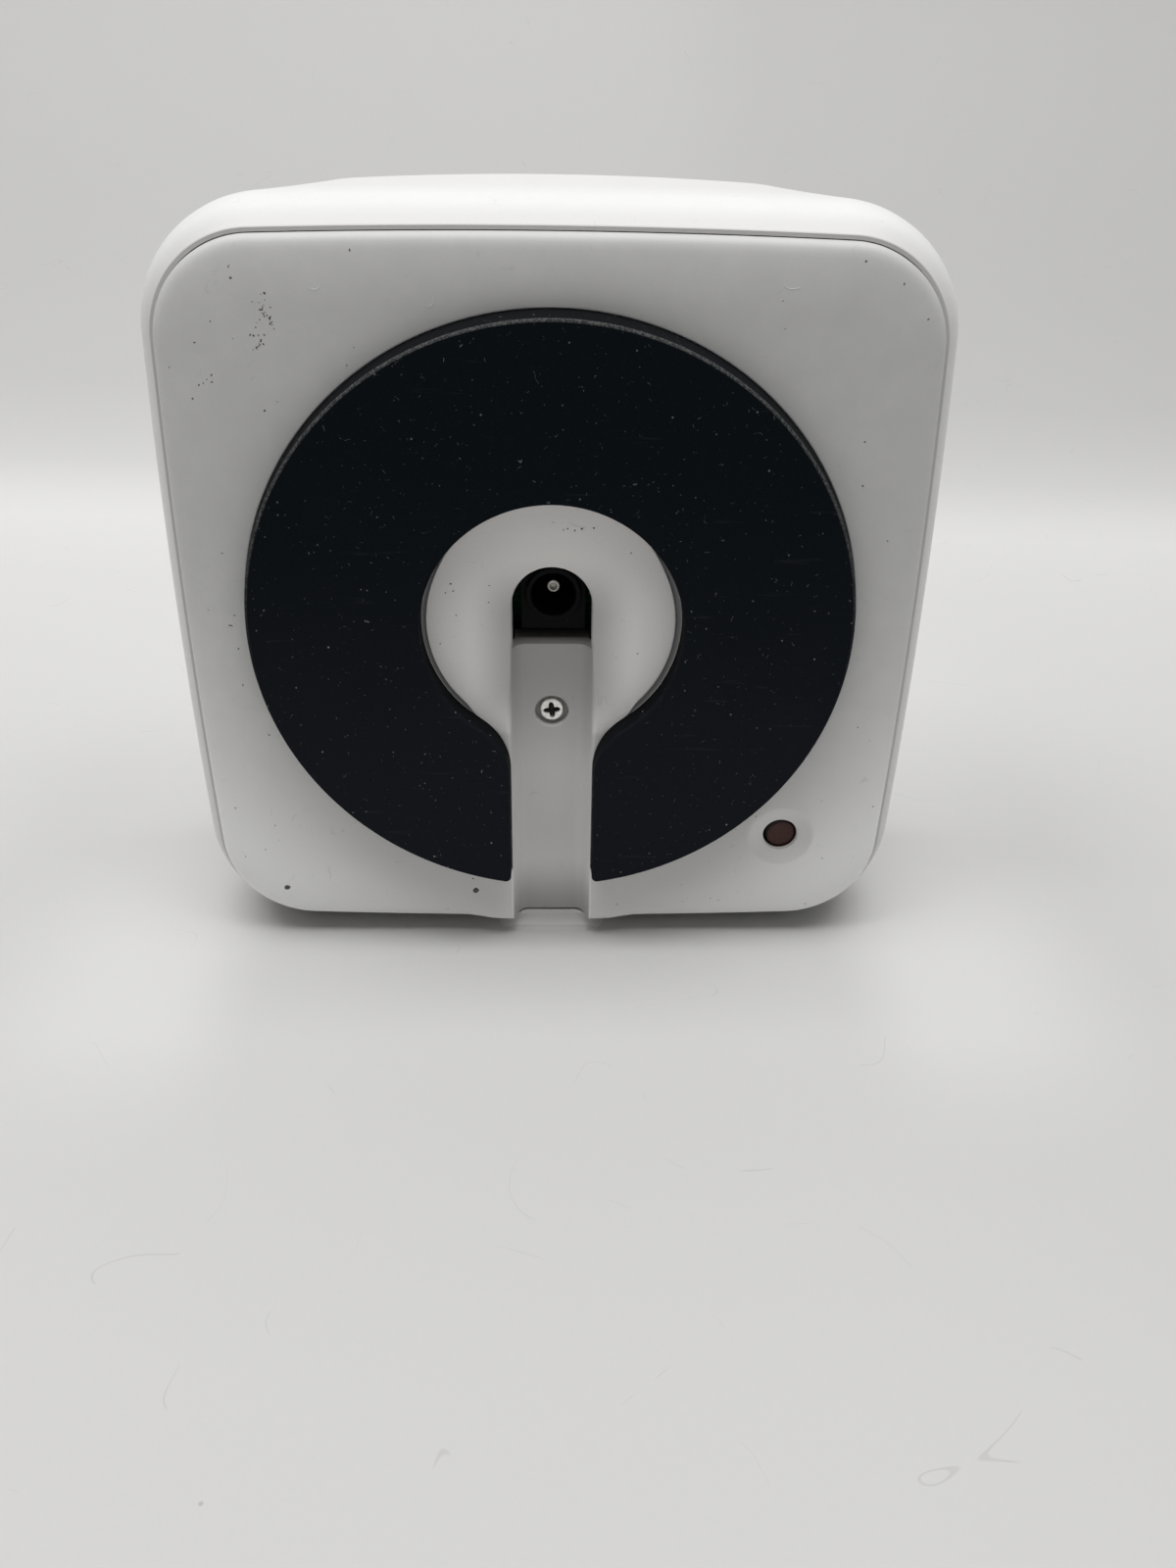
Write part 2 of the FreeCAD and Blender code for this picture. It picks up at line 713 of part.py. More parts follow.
def capacitors():
    found = []
    for step in range(capacitor_count):
        x = capacitor_x - step * capacitor_spacing
        can = rod(x, capacitor_y, board_depth - capacitor_height, capacitor_radius,
                  capacitor_height - capacitor_base_thickness)
        base = block(x, capacitor_y, board_depth - capacitor_base_thickness, capacitor_base, capacitor_base,
                     capacitor_base_thickness - chip_gap)
        found.append(fuse(can, base))
    return found


def small_parts():
    found = []
    for row in range(small_part_rows):
        for column in range(small_part_columns):
            x = small_part_x + column * small_part_pitch
            y = small_part_y - row * small_part_row_pitch
            found.append(block(x, y, chip_start, small_part_width, small_part_length, small_part_height))
    return found


def light_pipe():
    start = chip_start + led_height + pipe_gap
    pipe = rod(0, led_y, start, pipe_radius, body_depth - start)
    collar = rod(0, led_y, pipe_collar_end - pipe_collar_thickness, pipe_collar_radius,
                 pipe_collar_thickness)
    return fuse(pipe.common(body_solid(shell_start, 0)), collar)


os.makedirs("parts", exist_ok=True)

export("outer_shell", outer_shell())
export("base_cover", base_cover())
export("rubber_pad", rubber_pad())
export("pad_adhesive", pad_ring(pad_radius, 0, pad_bottom, adhesive_thickness))
export("case_screw", screw(0, screw_height, screw_seat, screw_head_radius, screw_head_height,
                           screw_shank_radius, screw_length))
export("screw_insert", rod(0, screw_height, boss_end, insert_radius, insert_length)
       .cut(rod(0, screw_height, boss_end - past, insert_bore_radius, insert_length + 2 * past)))
housing, pin, spring = jack_pieces()
export("jack_housing", housing)
export("jack_center_pin", pin)
export("jack_sleeve_spring", spring)
export("main_board", main_board())
board_screws = [screw(x, y, board_depth, board_screw_head_radius, board_screw_head_height,
                      board_screw_radius - board_screw_fit, board_screw_length)
                for x, y in board_screw_places()]
export("board_screws", *board_screws)
switch_body, plunger, legs, plunger_top = reset_switch()
export("switch_body", switch_body)
export("switch_plunger", plunger)
export("switch_legs", *legs)
export("reset_button", reset_button(plunger_top - button_stop_gap))
export("processor_chip", block(processor_x, processor_y, chip_start, processor_width,
                               processor_width, processor_thickness))
export("thermal_pad", block(processor_x, processor_y, chip_start + processor_thickness,
                            thermal_pad_width, thermal_pad_width,
                            shield_height - shield_sheet - processor_thickness))
shield_frame, shield_lid = shield()
export("shield_frame", shield_frame)
export("shield_lid", shield_lid)
export("memory_chip", block(memory_x, memory_y, chip_start, memory_width, memory_length,
                            memory_thickness))
export("power_chip", block(power_chip_x, power_chip_y, board_depth - chip_gap - power_chip_thickness,
                           power_chip_width, power_chip_width, power_chip_thickness))
export("power_inductor", block(inductor_x, inductor_y, board_depth - chip_gap - inductor_height,
                               inductor_width, inductor_width, inductor_height))
export("supply_capacitors", *capacitors())
export("clock_crystal", block(crystal_x, crystal_y, chip_start, crystal_width, crystal_length,
                              crystal_thickness))
wifi_board, wifi_can = radio_module(wifi_x, wifi_y, wifi_width, wifi_length)
export("wifi_module_board", wifi_board)
export("wifi_module_can", wifi_can)
mesh_board, mesh_can = radio_module(mesh_x, mesh_y, mesh_width, mesh_length)
export("mesh_module_board", mesh_board)
export("mesh_module_can", mesh_can)
wifi_antennas, mesh_antenna = antennas()
export("wifi_antennas", *wifi_antennas)
export("mesh_antenna", mesh_antenna)
export("status_led", block(0, led_y, chip_start, led_width, led_length, led_height))
export("light_pipe", light_pipe())
export("small_parts", *small_parts())
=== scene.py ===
# Smart hub, standing on its side with its base to the viewer.
# Shapes are worked out in millimetres: x to the right, h above the hub's own axis, depth from the pad's face.
import json
import math

import bpy
import numpy as np
from mathutils import Matrix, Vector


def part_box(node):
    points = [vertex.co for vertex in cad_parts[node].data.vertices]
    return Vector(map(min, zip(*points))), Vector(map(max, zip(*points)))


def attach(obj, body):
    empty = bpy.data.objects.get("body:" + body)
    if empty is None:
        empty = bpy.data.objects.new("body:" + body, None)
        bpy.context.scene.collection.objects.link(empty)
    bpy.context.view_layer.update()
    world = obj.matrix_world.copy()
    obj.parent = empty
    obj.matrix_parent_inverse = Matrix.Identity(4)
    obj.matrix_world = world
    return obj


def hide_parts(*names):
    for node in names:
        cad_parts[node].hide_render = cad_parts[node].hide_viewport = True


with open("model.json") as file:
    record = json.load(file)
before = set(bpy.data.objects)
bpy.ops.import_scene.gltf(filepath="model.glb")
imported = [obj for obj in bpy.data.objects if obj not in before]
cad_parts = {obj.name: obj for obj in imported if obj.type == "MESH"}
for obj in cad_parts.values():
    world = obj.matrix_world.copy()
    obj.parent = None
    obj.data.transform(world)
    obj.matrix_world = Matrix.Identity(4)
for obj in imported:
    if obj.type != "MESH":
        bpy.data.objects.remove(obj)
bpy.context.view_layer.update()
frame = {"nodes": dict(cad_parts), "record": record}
print("frame loaded, nodes:", len(frame["nodes"]))

mm = 0.001
ahead = -3.0        # depths where cutters start before every face, and come out behind
past = 14.0
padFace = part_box("rubber_pad")[0].y
axisHeight = sum(corner.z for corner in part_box("base_cover")) / 2


def middle(node):
    # x and h of a node's middle
    low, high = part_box(node)
    return (low.x + high.x) / 2 / mm, ((low.z + high.z) / 2 - axisHeight) / mm


def depths(node):
    # depths of a node's nearer and farther end
    return [(corner.y - padFace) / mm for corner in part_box(node)]


def placed(x, h, depth, lowest=0.0):
    # hub millimetres to metres in the frame; only a cutter may reach below the ground
    x, h, depth = np.broadcast_arrays(x, h, depth)
    return np.stack([x * mm, padFace + depth * mm, np.maximum(axisHeight + h * mm, lowest)], axis=-1)


# Mesh tools

def added(name, data):
    # a new object in the scene
    made = bpy.data.objects.new(name, data)
    bpy.context.scene.collection.objects.link(made)
    return made


def meshFrom(name, points, corners, sizes):
    # one mesh from all its points, the corners of its faces in a row, and how many corners each face has
    mesh = bpy.data.meshes.new(name)
    mesh.vertices.add(len(points))
    mesh.vertices.foreach_set("co", points.astype(np.float32).ravel())
    mesh.loops.add(len(corners))
    mesh.loops.foreach_set("vertex_index", corners.astype(np.int32))
    mesh.polygons.add(len(sizes))
    mesh.polygons.foreach_set("loop_start", (np.cumsum(sizes) - sizes).astype(np.int32))
    mesh.update(calc_edges=True)
    return added(name, mesh)


def closedGrid(name, x, h, depth, flatEnds=False, lowest=0.0):
    # rings of points, each closed on itself, joined by quads; each end gets a fan to its mean point or one
    # flat face. The volume's sign tells whether to turn the faces.
    rings = placed(x, h, depth, lowest)
    rows, columns = rings.shape[:2]
    points = np.vstack([rings.reshape(-1, 3), rings[0].mean(0), rings[-1].mean(0)])
    index = np.arange(rows * columns).reshape(rows, columns)
    following = np.roll(index, -1, axis=1)
    quads = np.stack([index[:-1], following[:-1], following[1:], index[1:]], axis=-1).reshape(-1, 4)
    pole = np.full(columns, rows * columns)
    ends = np.vstack([np.stack([following[0], index[0], pole], axis=-1),
                      np.stack([index[-1], following[-1], pole + 1], axis=-1)])
    a, b, c = points[np.vstack([quads[:, [0, 1, 2]], quads[:, [0, 2, 3]], ends]).T]
    step = -1 if np.einsum("ij,ij->i", a, np.cross(b, c)).sum() < 0 else 1
    ends = ends[:, ::step]
    if flatEnds:
        points = points[:-2]
        ends = np.stack([index[0, ::-step], index[-1, ::step]])
    corners = np.concatenate([quads[:, ::step].ravel(), ends.ravel()])
    return meshFrom(name, points, corners, np.repeat([4, ends.shape[1]], [len(quads), len(ends)]))


def circle(count):
    # angles of points spread evenly round a circle
    return np.linspace(0, 2 * math.pi, count, endpoint=False)


def lathe(name, axis, profile, columns=96):
    # a profile of (radius, depth) points turned about an axis along the depth
    profile = np.array(profile, float)
    turn = circle(columns)
    x = axis[0] + profile[:, :1] * np.cos(turn)
    h = axis[1] + profile[:, :1] * np.sin(turn)
    return closedGrid(name, x, h, profile[:, 1:])


def roundCorner(radius, depth, size, first, last, count=7):
    # an arc's points in a profile, about (radius, depth), angles in degrees
    angle = np.radians(np.linspace(first, last, count))
    return np.stack([radius + size * np.cos(angle), depth + size * np.sin(angle)], axis=-1)


def quarter(count):
    # a quarter round: how far its points have come across and along
    turn = np.linspace(0, math.pi / 2, count)
    return 1 - np.cos(turn), np.sin(turn)


def straight(name, x, h, first, last):
    # a closed outline carried straight along the depth
    depth = np.array([[first], [last]], float)
    return closedGrid(name, np.reshape(x, (1, -1)), np.reshape(h, (1, -1)), depth, flatEnds=True)


def block(name, left, right, low, high, first, last):
    # a box between two sides, two heights and two depths
    return straight(name, [right, right, left, left], [low, high, high, low], first, last)


def combined(piece, other, how):
    # joins or takes away another closed piece, which then goes
    modifier = piece.modifiers.new("combine", "BOOLEAN")
    modifier.operation = how
    modifier.solver = "MANIFOLD"
    modifier.object = other
    result = bpy.data.meshes.new_from_object(piece.evaluated_get(bpy.context.evaluated_depsgraph_get()))
    before = piece.data
    piece.modifiers.clear()
    piece.data = result
    bpy.data.meshes.remove(before)
    result.name = piece.name
    bpy.data.objects.remove(other)


def carve(piece, *cutters):
    # takes each cutter out of the piece
    for cutter in cutters:
        combined(piece, cutter, "DIFFERENCE")


def join(piece, *others):
    # adds the others to the piece
    for other in others:
        combined(piece, other, "UNION")


def shaded(piece, angle=30):
    # smooth shading, kept sharp where two faces meet at more than an angle
    with bpy.context.temp_override(object=piece, active_object=piece, selected_objects=[piece],
                                   selected_editable_objects=[piece]):
        bpy.ops.object.shade_smooth_by_angle(angle=math.radians(angle))
    return piece


def smooth(t):
    # 0 to 1 with flat ends
    t = np.clip(t, 0, 1)
    return t * t * (3 - 2 * t)


# Outline of the hub: a square with bowed sides and round corners

hub = {
    "halfWidth": 55.0, "sideBow": 1085.0, "coverHalf": 51.4, "coverCorner": 13.5,
    "sidePoints": 40, "cornerPoints": 36,
}


def cornerMiddle(half, bow, corner):
    # x and h of a corner arc's centre, so that the arc touches both sides
    reach = bow - half
    return (np.sqrt(2 * (bow - corner) ** 2 - reach ** 2) - reach) / 2


def bowedSquare(half, bow, corner):
    # rings of a square with sides of large radius and corner arcs that touch them, one ring for each row of
    # values; the points run clockwise from the top left
    half, bow, corner = [np.reshape(value, (-1, 1)) for value in (half, bow, corner)]
    centre = cornerMiddle(half, bow, corner)
    lean = np.arcsin(centre / (bow - corner))
    along = np.linspace(-1, 1, hub["sidePoints"], endpoint=False) * lean
    around = lean + (math.pi / 2 - 2 * lean) * np.linspace(0, 1, hub["cornerPoints"], endpoint=False)
    x = np.hstack([bow * np.sin(along), centre + corner * np.sin(around)])
    h = np.hstack([half - bow + bow * np.cos(along), centre + corner * np.cos(around)])
    return np.hstack([x, h, -x, -h]), np.hstack([h, -x, -h, x])


def coverOutline(offset):
    # the cover's edge moved outwards, one ring for each offset
    offset = np.asarray(offset, float)
    return bowedSquare(hub["coverHalf"] + offset, hub["sideBow"] + offset, hub["coverCorner"] + offset)


# Rubber pad. The cover's recess and the channel's lips follow its outline too.

pad = {
    "radius": 42.2, "holeRadius": 18.4, "neckHalf": 6.2, "neckFillet": 10.0, "endRound": 0.8,
    "flare": 0.5,           # the foot is this much larger than the face
    "edgeRound": 0.42,
    "faceRim": 0.15,        # the face's own first step inwards
    "side": [4.0, 2.6, 1.2],    # depths of the rings on the side wall, from the underside on
    "wearFrom": -10.0, "wearOver": 30.0,    # the edge is rubbed from this h upwards
}
filletX = pad["neckHalf"] + pad["neckFillet"]
filletH = -math.sqrt((pad["holeRadius"] + pad["neckFillet"]) ** 2 - filletX ** 2)


def keyholeHalf(h):
    # half width of the pad's hole at a height: neck, then the fillet, then the circle
    fillet = filletX - np.sqrt(np.clip(pad["neckFillet"] ** 2 - (h - filletH) ** 2, 0, None))
    hole = np.sqrt(np.clip(pad["holeRadius"] ** 2 - h * h, 0, None))
    touch = filletH * pad["holeRadius"] / (pad["holeRadius"] + pad["neckFillet"])
    return np.where(h < filletH, pad["neckHalf"], np.where(h < touch, fillet, hole))


def arcPath(centre, radius, first, last, count, side):
    # points of an arc with their outward directions, side 1 away from its centre and -1 towards it
    angle = np.radians(np.linspace(first, last, count))
    across, up = np.cos(angle), np.sin(angle)
    return np.stack([centre[0] + radius * across, centre[1] + radius * up, side * across, side * up])


def padPath(clearance=0.0):
    # the C-shaped outline, counter-clockwise: outer arc, rounded end, fillet, hole, and back again; last, how
    # much each point belongs to the outer arc
    radius, hole = pad["radius"] + clearance, pad["holeRadius"] - clearance
    fillet, end = pad["neckFillet"] + clearance, pad["endRound"]
    endX = pad["neckHalf"] - clearance + end
    endH = -math.sqrt((radius - end) ** 2 - endX ** 2)
    lean = math.degrees(math.atan2(endH, endX))
    slant = math.degrees(math.atan2(-filletH, filletX))
    parts = [
        arcPath((0, 0), radius, lean, 180 - lean, 220, 1),
        arcPath((-endX, endH), end, 180 - lean, 360, 12, 1)[:, 1:],
        arcPath((-filletX, filletH), fillet, 0, slant, 24, 1),
        arcPath((0, 0), hole, 180 + slant, -slant, 130, -1)[:, 1:-1],
        arcPath((filletX, filletH), fillet, 180 - slant, 180, 24, 1),
        arcPath((endX, endH), end, 180, 360 + lean, 12, 1)[:, :-1],
    ]
    shares = [(1, 1), (1, 0), (0, 0), (0, 0), (0, 0), (0, 1)]
    outer = [np.linspace(*share, part.shape[1]) for share, part in zip(shares, parts)]
    return np.vstack([np.hstack(parts), np.concatenate(outer)])


def buildPad():
    # the outline carried up the side wall, round the edge and a little way in over the face, each ring moved
    # in or out at its own depth
    x, h, outX, outH, outer = padPath()
    edge = pad["edgeRound"]
    across, along = quarter(7)
    inset = np.concatenate([[0] * len(pad["side"]), edge * across, [edge + pad["faceRim"]]])[:, None]
    depth = np.concatenate([pad["side"], edge * (1 - along), [0.0]])[:, None]
    move = pad["flare"] * depth / pad["side"][0] * outer - inset
    piece = closedGrid("rubber_foot", x + move * outX, h + move * outH, depth, flatEnds=True)
    wear = (depth < edge) * (depth > 0.0) * outer * smooth((h - pad["wearFrom"]) / pad["wearOver"])
    attribute = piece.data.attributes.new("edgeWear", "FLOAT", "POINT")
    attribute.data.foreach_set("value", wear.astype(np.float32).ravel())
    return shaded(piece)


# Base cover

cover = {
    "top": 3.7, "skin": 2.5, "skirt": 3.0, "edgeHeight": 3.0,
    "rimDrop": 1.55, "rimWidth": 8.5,
    "rollShare": 0.55, "rollPower": 2.2, "edgeRoll": 0.5,   # the fall to the rim: a long roll and a short one
    "rimRings": [0.9, 0.68, 0.5, 0.36, 0.25, 0.16, 0.1, 0.05, 0.02, 0.0],
    "dishRadius": 17.6, "dishDepth": 0.3,
    "funnelDepth": 1.2, "funnelReach": 7.5,     # a further fall beside the arch and the channel's upper part
    "funnelFoot": -17.5, "funnelFade": 8.0,
    "fingerRadius": 5.0, "fingerDepth": 0.9, "fingerPower": 1.25,
    "ridgeHalf": 8.0, "ridgeSlope": 6.0, "ridgeLength": 11.0,   # ground left high beside the channel's mouth
    "ridgeFade": 3.0, "ridgeDrop": 0.06, "ridgeEdge": 0.2,
    "recessRadius": 42.95, "recessDepth": 0.5, "recessClearance": 0.05, "recessEdge": 0.16,
    "seatGap": 0.7, "seatShift": 0.12,          # how much of the recess shows beside the pad's hole
    "seatTop": (0.95, -0.55), "seatNeck": (-0.82, 0.12),    # where it starts to show, and over how much
    "wall": 1.8, "overlap": 0.5,                # of the parts that join the cover behind
    "archEnd": 0.45,                            # the arch's wall reaches this far over the jack
    "sillHeight": 0.4, "sillEnd": 12.6, "troughEnd": 2.0,
    "guideRadius": 4.3, "guideEnd": 8.9, "bossRadius": 4.0, "bossEnd": 10.8,
    "counterbore": 2.5, "counterboreEdge": 0.2, "screwHole": 1.2, "screwSeat": 9.0,
    "buttonHole": 2.6, "buttonHoleEdge": 0.12,
}
arch = {"half": 5.7, "middle": 2.1, "edge": 0.3}
channel = {
    "start": -4.7,          # h of the floor's upper end
    "half": 5.5,
    "floor": 7.2, "floorHalf": 3.6,     # the floor's depth and its flat part
    "lip": 0.55, "lipAtArch": 0.45, "lipFade": 6.0,     # how far the lip reaches out beside the neck
    "lipWide": 1.3, "lipWideAt": -14.5, "lipSpread": 6.0,   # and where the dished middle runs in
    "lipTurn": 0.1,         # share of the lip where the wall begins to turn over
    "neckGap": 0.1,
    "early": 1.0, "overshoot": 12.0,    # the cutter starts inside the arch and runs on past the edge
}
buttonX, buttonH = middle("reset_button")


def edgeDistance(x, h):
    # how far a point lies inside the cover's edge: inside the corner's arc, or else the bowed side
    half, bow, corner = hub["coverHalf"], hub["sideBow"], hub["coverCorner"]
    centre, reach = cornerMiddle(half, bow, corner), bow - half
    big, small = np.maximum(np.abs(x), np.abs(h)), np.minimum(np.abs(x), np.abs(h))
    side, corner = bow - np.hypot(big + reach, small), corner - np.hypot(big - centre, small - centre)
    return np.where(small * (centre + reach) > centre * (big + reach), corner, side)


def coverDepth(x, h):
    # depth of the cover's face as a sum of its forms: the flat middle, the fall to the rim, the ground left
    # high beside the channel's mouth, the round dish, the funnel and the finger dish
    inward = np.clip(edgeDistance(x, h), 0, None)
    rest = 1 - np.clip(inward / cover["rimWidth"], 0, 1)
    roll = cover["rollShare"]
    fall = roll * rest ** cover["rollPower"] + (1 - roll) * np.exp(-inward / cover["edgeRoll"]) * rest
    high = 1 - smooth((np.abs(x) - cover["ridgeHalf"]) / cover["ridgeSlope"])
    high = high * smooth((-h - hub["coverHalf"] + cover["ridgeLength"]) / cover["ridgeFade"])
    blunt = cover["ridgeDrop"] * rest + cover["ridgeEdge"] * np.exp(-inward / cover["ridgeEdge"])
    fall = fall * (1 - high) + blunt * high
    dish = cover["dishDepth"] * np.clip(1 - (x * x + h * h) / cover["dishRadius"] ** 2, 0, None)
    beside = np.clip(np.hypot(x, np.clip(h - arch["middle"], 0, None)) - arch["half"], 0, None)
    funnel = cover["funnelDepth"] * np.clip(1 - beside / cover["funnelReach"], 0, None) ** 2
    funnel = funnel * smooth((h - cover["funnelFoot"]) / cover["funnelFade"])
    away = np.hypot(x - buttonX, h - buttonH) / cover["fingerRadius"]
    finger = cover["fingerDepth"] * np.clip(1 - away ** 2, 0, None) ** cover["fingerPower"]
    return cover["top"] + cover["rimDrop"] * fall + dish + funnel + finger


def mirrored(x, depth):
    # a section's right half, and back over the left half
    return np.hstack([x, -x[:, ::-1]]), np.hstack([depth, depth[:, ::-1]])


def channelCutter():
    # a section carried down the channel: one cubic curve on each side leads from the flat floor up the wall
    # and over into the cover's face
    half, narrow = channel["half"], channel["lipAtArch"]
    first, last = channel["start"] + channel["early"], -hub["coverHalf"] - channel["overshoot"]
    h = np.linspace(first, last, 110)[:, None]
    lip = narrow + (channel["lip"] - narrow) * smooth((channel["start"] - h) / channel["lipFade"])
    spread = np.exp(-((h - channel["lipWideAt"]) / channel["lipSpread"]) ** 2)
    lip = lip + (channel["lipWide"] - channel["lip"]) * spread
    outer = np.minimum(half + lip, keyholeHalf(h) - channel["neckGap"])
    top = coverDepth(outer, np.clip(h, 0.02 - hub["coverHalf"], None))
    t = np.linspace(0, 1, 29)
    a, b, c, d = (1 - t) ** 3, 3 * t * (1 - t) ** 2, 3 * t * t * (1 - t), t ** 3
    x = a * channel["floorHalf"] + b * half + c * (half + (outer - half) * channel["lipTurn"]) + d * outer
    depth = np.hstack([(a + b) * channel["floor"] + (c + d) * top, np.full_like(h, ahead)])
    x, depth = mirrored(np.hstack([x, outer]), depth)
    return closedGrid("channel", x, h, depth, lowest=-math.inf)


def archPath(half, foot):
    # round top on straight sides, one path for each half width
    half = np.reshape(half, (-1, 1))
    turn = np.linspace(0, math.pi, 49)
    rise = np.linspace(foot, arch["middle"], 14, endpoint=False) + 0 * half
    side = half + 0 * rise
    x = np.hstack([side, half * np.cos(turn), -side])
    return x, np.hstack([rise, arch["middle"] + half * np.sin(turn), rise[:, ::-1]])


def archCutter():
    # the opening's outline carried straight down, flared into a round edge at the dished face
    across, along = [arch["edge"] * line[::-1, None] for line in quarter(7)]
    x, h = archPath(arch["half"] + across, channel["start"])
    depth = coverDepth(x, h) + arch["edge"] - along
    x, h = [line[[0, *range(len(line)), -1]] for line in (x, h)]
    depth = np.vstack([np.full_like(depth[0], ahead), depth, np.full_like(depth[0], past)])
    return closedGrid("arch", x, h, depth, flatEnds=True)


def recessCutter():
    # the pad's outline a little larger, with a round upper edge. Round the hole a gap shows, widest at the
    # sides, that dies out at the top and at the neck.
    x, h, outX, outH, outer = padPath(cover["recessClearance"])
    radius = np.hypot(x, h)
    inHole = (radius < pad["holeRadius"] + 0.1) * (1 - outer)
    gap = (cover["seatGap"] + cover["seatShift"] * x / radius) * inHole
    for start, over in (cover["seatTop"], cover["seatNeck"]):
        gap = gap * smooth((h / radius - start) / over)
    edge, top = cover["recessEdge"], cover["top"]
    across, along = [edge * line[::-1] for line in quarter(5)]
    out = np.concatenate([[edge], across, [0]])[:, None]
    depth = np.concatenate([[ahead], top + edge - along, [top + cover["recessDepth"]]])[:, None]
    move = pad["flare"] * outer + gap + out
    return closedGrid("recess", x + outX * move, h + outH * move, depth, flatEnds=True)


def buildCover():
    # the face in rings from the middle out: circles, closest at the dish's edge, rings that turn into the
    # outline, and the rim's own outlines; then the edge goes down, and the underside comes back behind it
    outlineX, outlineH = coverOutline([0.0])
    angle = np.arctan2(outlineH, outlineX)
    dish = cover["dishRadius"]
    radii = np.concatenate([np.linspace(0.5, dish - 0.4, 34), [dish - 0.1, dish, dish + 0.1, dish + 0.4],
                            np.linspace(dish + 1.4, cover["recessRadius"] + 0.2, 20)])[:, None, None]
    circles = radii * np.stack([np.cos(angle), np.sin(angle)], axis=1)
    inset = np.concatenate([np.linspace(cover["rimWidth"], 1.2, 28), cover["rimRings"]])
    rim = np.stack(coverOutline(-inset), axis=1)
    share = np.linspace(0, 1, 28)[1:-1, None, None]
    face = np.concatenate([circles, circles[-1] + (rim[0] - circles[-1]) * share, rim])
    depth = coverDepth(face[:, 0], face[:, 1])
    end = cover["top"] + cover["rimDrop"] + cover["edgeHeight"]
    under = cover["top"] + cover["skin"]
    down = np.linspace(0, 1, 7)[1:, None]
    wall = depth[-1] + (end - depth[-1]) * down
    depth = np.vstack([depth, wall, np.full_like(wall[:2], [[end], [under]])])
    back = np.stack(coverOutline([-cover["skirt"], -cover["skirt"] - 0.01]), axis=1)
    rings = np.concatenate([face, face[[-1] * len(down)], back])
    piece = closedGrid("cover_skin", rings[:, 0], rings[:, 1], depth)

    # the trough, the arch's wall, the sill, the screw boss and the button's guide stand behind the face
    half, upper, floor = channel["half"], channel["start"], channel["floor"]
    wide, floorBack = half + cover["wall"], floor + cover["wall"]
    inSkin, inFloor = under - cover["overlap"], floorBack - cover["overlap"]
    screwAt, buttonAt = middle("case_screw"), (buttonX, buttonH)
    boss, guide = cover["bossRadius"], cover["guideRadius"]
    archEnd = depths("jack_housing")[0] + cover["archEnd"]
    join(piece,
         block("trough", -wide, wide, cover["troughEnd"] - hub["coverHalf"], upper, inSkin, floorBack),
         straight("archWall", *archPath(wide, upper - 0.3), inSkin - 0.1, archEnd),
         block("sill", -half, half, upper - cover["sillHeight"], upper, inFloor, cover["sillEnd"]),
         lathe("boss", screwAt, [(boss, inFloor), (boss, cover["bossEnd"])]),
         lathe("guide", buttonAt, [(guide, inSkin), (guide, cover["guideEnd"])]))

    # the pad's recess, the channel, the arch and the round holes
    bore, edge, seat = cover["counterbore"], cover["counterboreEdge"], cover["screwSeat"]
    screwProfile = [(bore + edge, ahead), *roundCorner(bore + edge, floor + edge, edge, 270, 180),
                    (bore, seat), (cover["screwHole"], seat), (cover["screwHole"], past)]
    hole, edge = cover["buttonHole"], cover["buttonHoleEdge"]
    start = cover["top"] + cover["fingerDepth"] + edge
    buttonProfile = [(hole + edge, ahead), *roundCorner(hole + edge, start, edge, 270, 180), (hole, past)]
    carve(piece, recessCutter(), channelCutter(), archCutter(),
          lathe("counterbore", screwAt, screwProfile), lathe("buttonHole", buttonAt, buttonProfile))
    return shaded(piece)


# Outer shell

shell = {
    "rearRound": 14.45,
    "lipDrop": 0.3,         # the rounding starts this much deeper than the cover's edge
    "wall": 2.4, "wallDepth": 2.9, "crownDepth": 15.8,
    "frontBow": 486.0, "frontCorner": 28.0, "frontRound": 5.7,
    "groove": 0.12, "lip": 0.55, "lipRound": 0.06,  # the lip is the flat edge beside the groove
    "ledge": 1.6, "ledgeTop": 8.25, "ledgeEnd": 10.25,
    "spoutTop": 3.05, "slitTop": 3.6,       # heights above the ground
    "slitHalf": 6.0, "spoutHalf": 5.7, "spoutBack": 14.0,
    "spoutSpread": 2.8, "spoutLean": 1.5,   # towards the ground it gets this much wider and comes forward
    "spoutRound": 0.5, "spoutRoundMore": 2.6,
}


def shellSide(depth, wall, widest):
    # half width, bow and corner radius of the shell's side at each depth, a wall's thickness inside
    drop = np.clip(widest - depth, 0, None)
    rise = shell["rearRound"] - np.sqrt(shell["rearRound"] ** 2 - drop ** 2)
    share = np.clip((depth - widest - shell["wallDepth"]) / shell["crownDepth"], 0, 1)
    bow = 1 / ((1 - share) / hub["sideBow"] + share / shell["frontBow"])
    corner = hub["coverCorner"] + hub["halfWidth"] - hub["coverHalf"]
    corner = corner + (shell["frontCorner"] - corner) * share
    return np.stack([hub["halfWidth"] + 0 * share, bow, corner]) - rise - wall


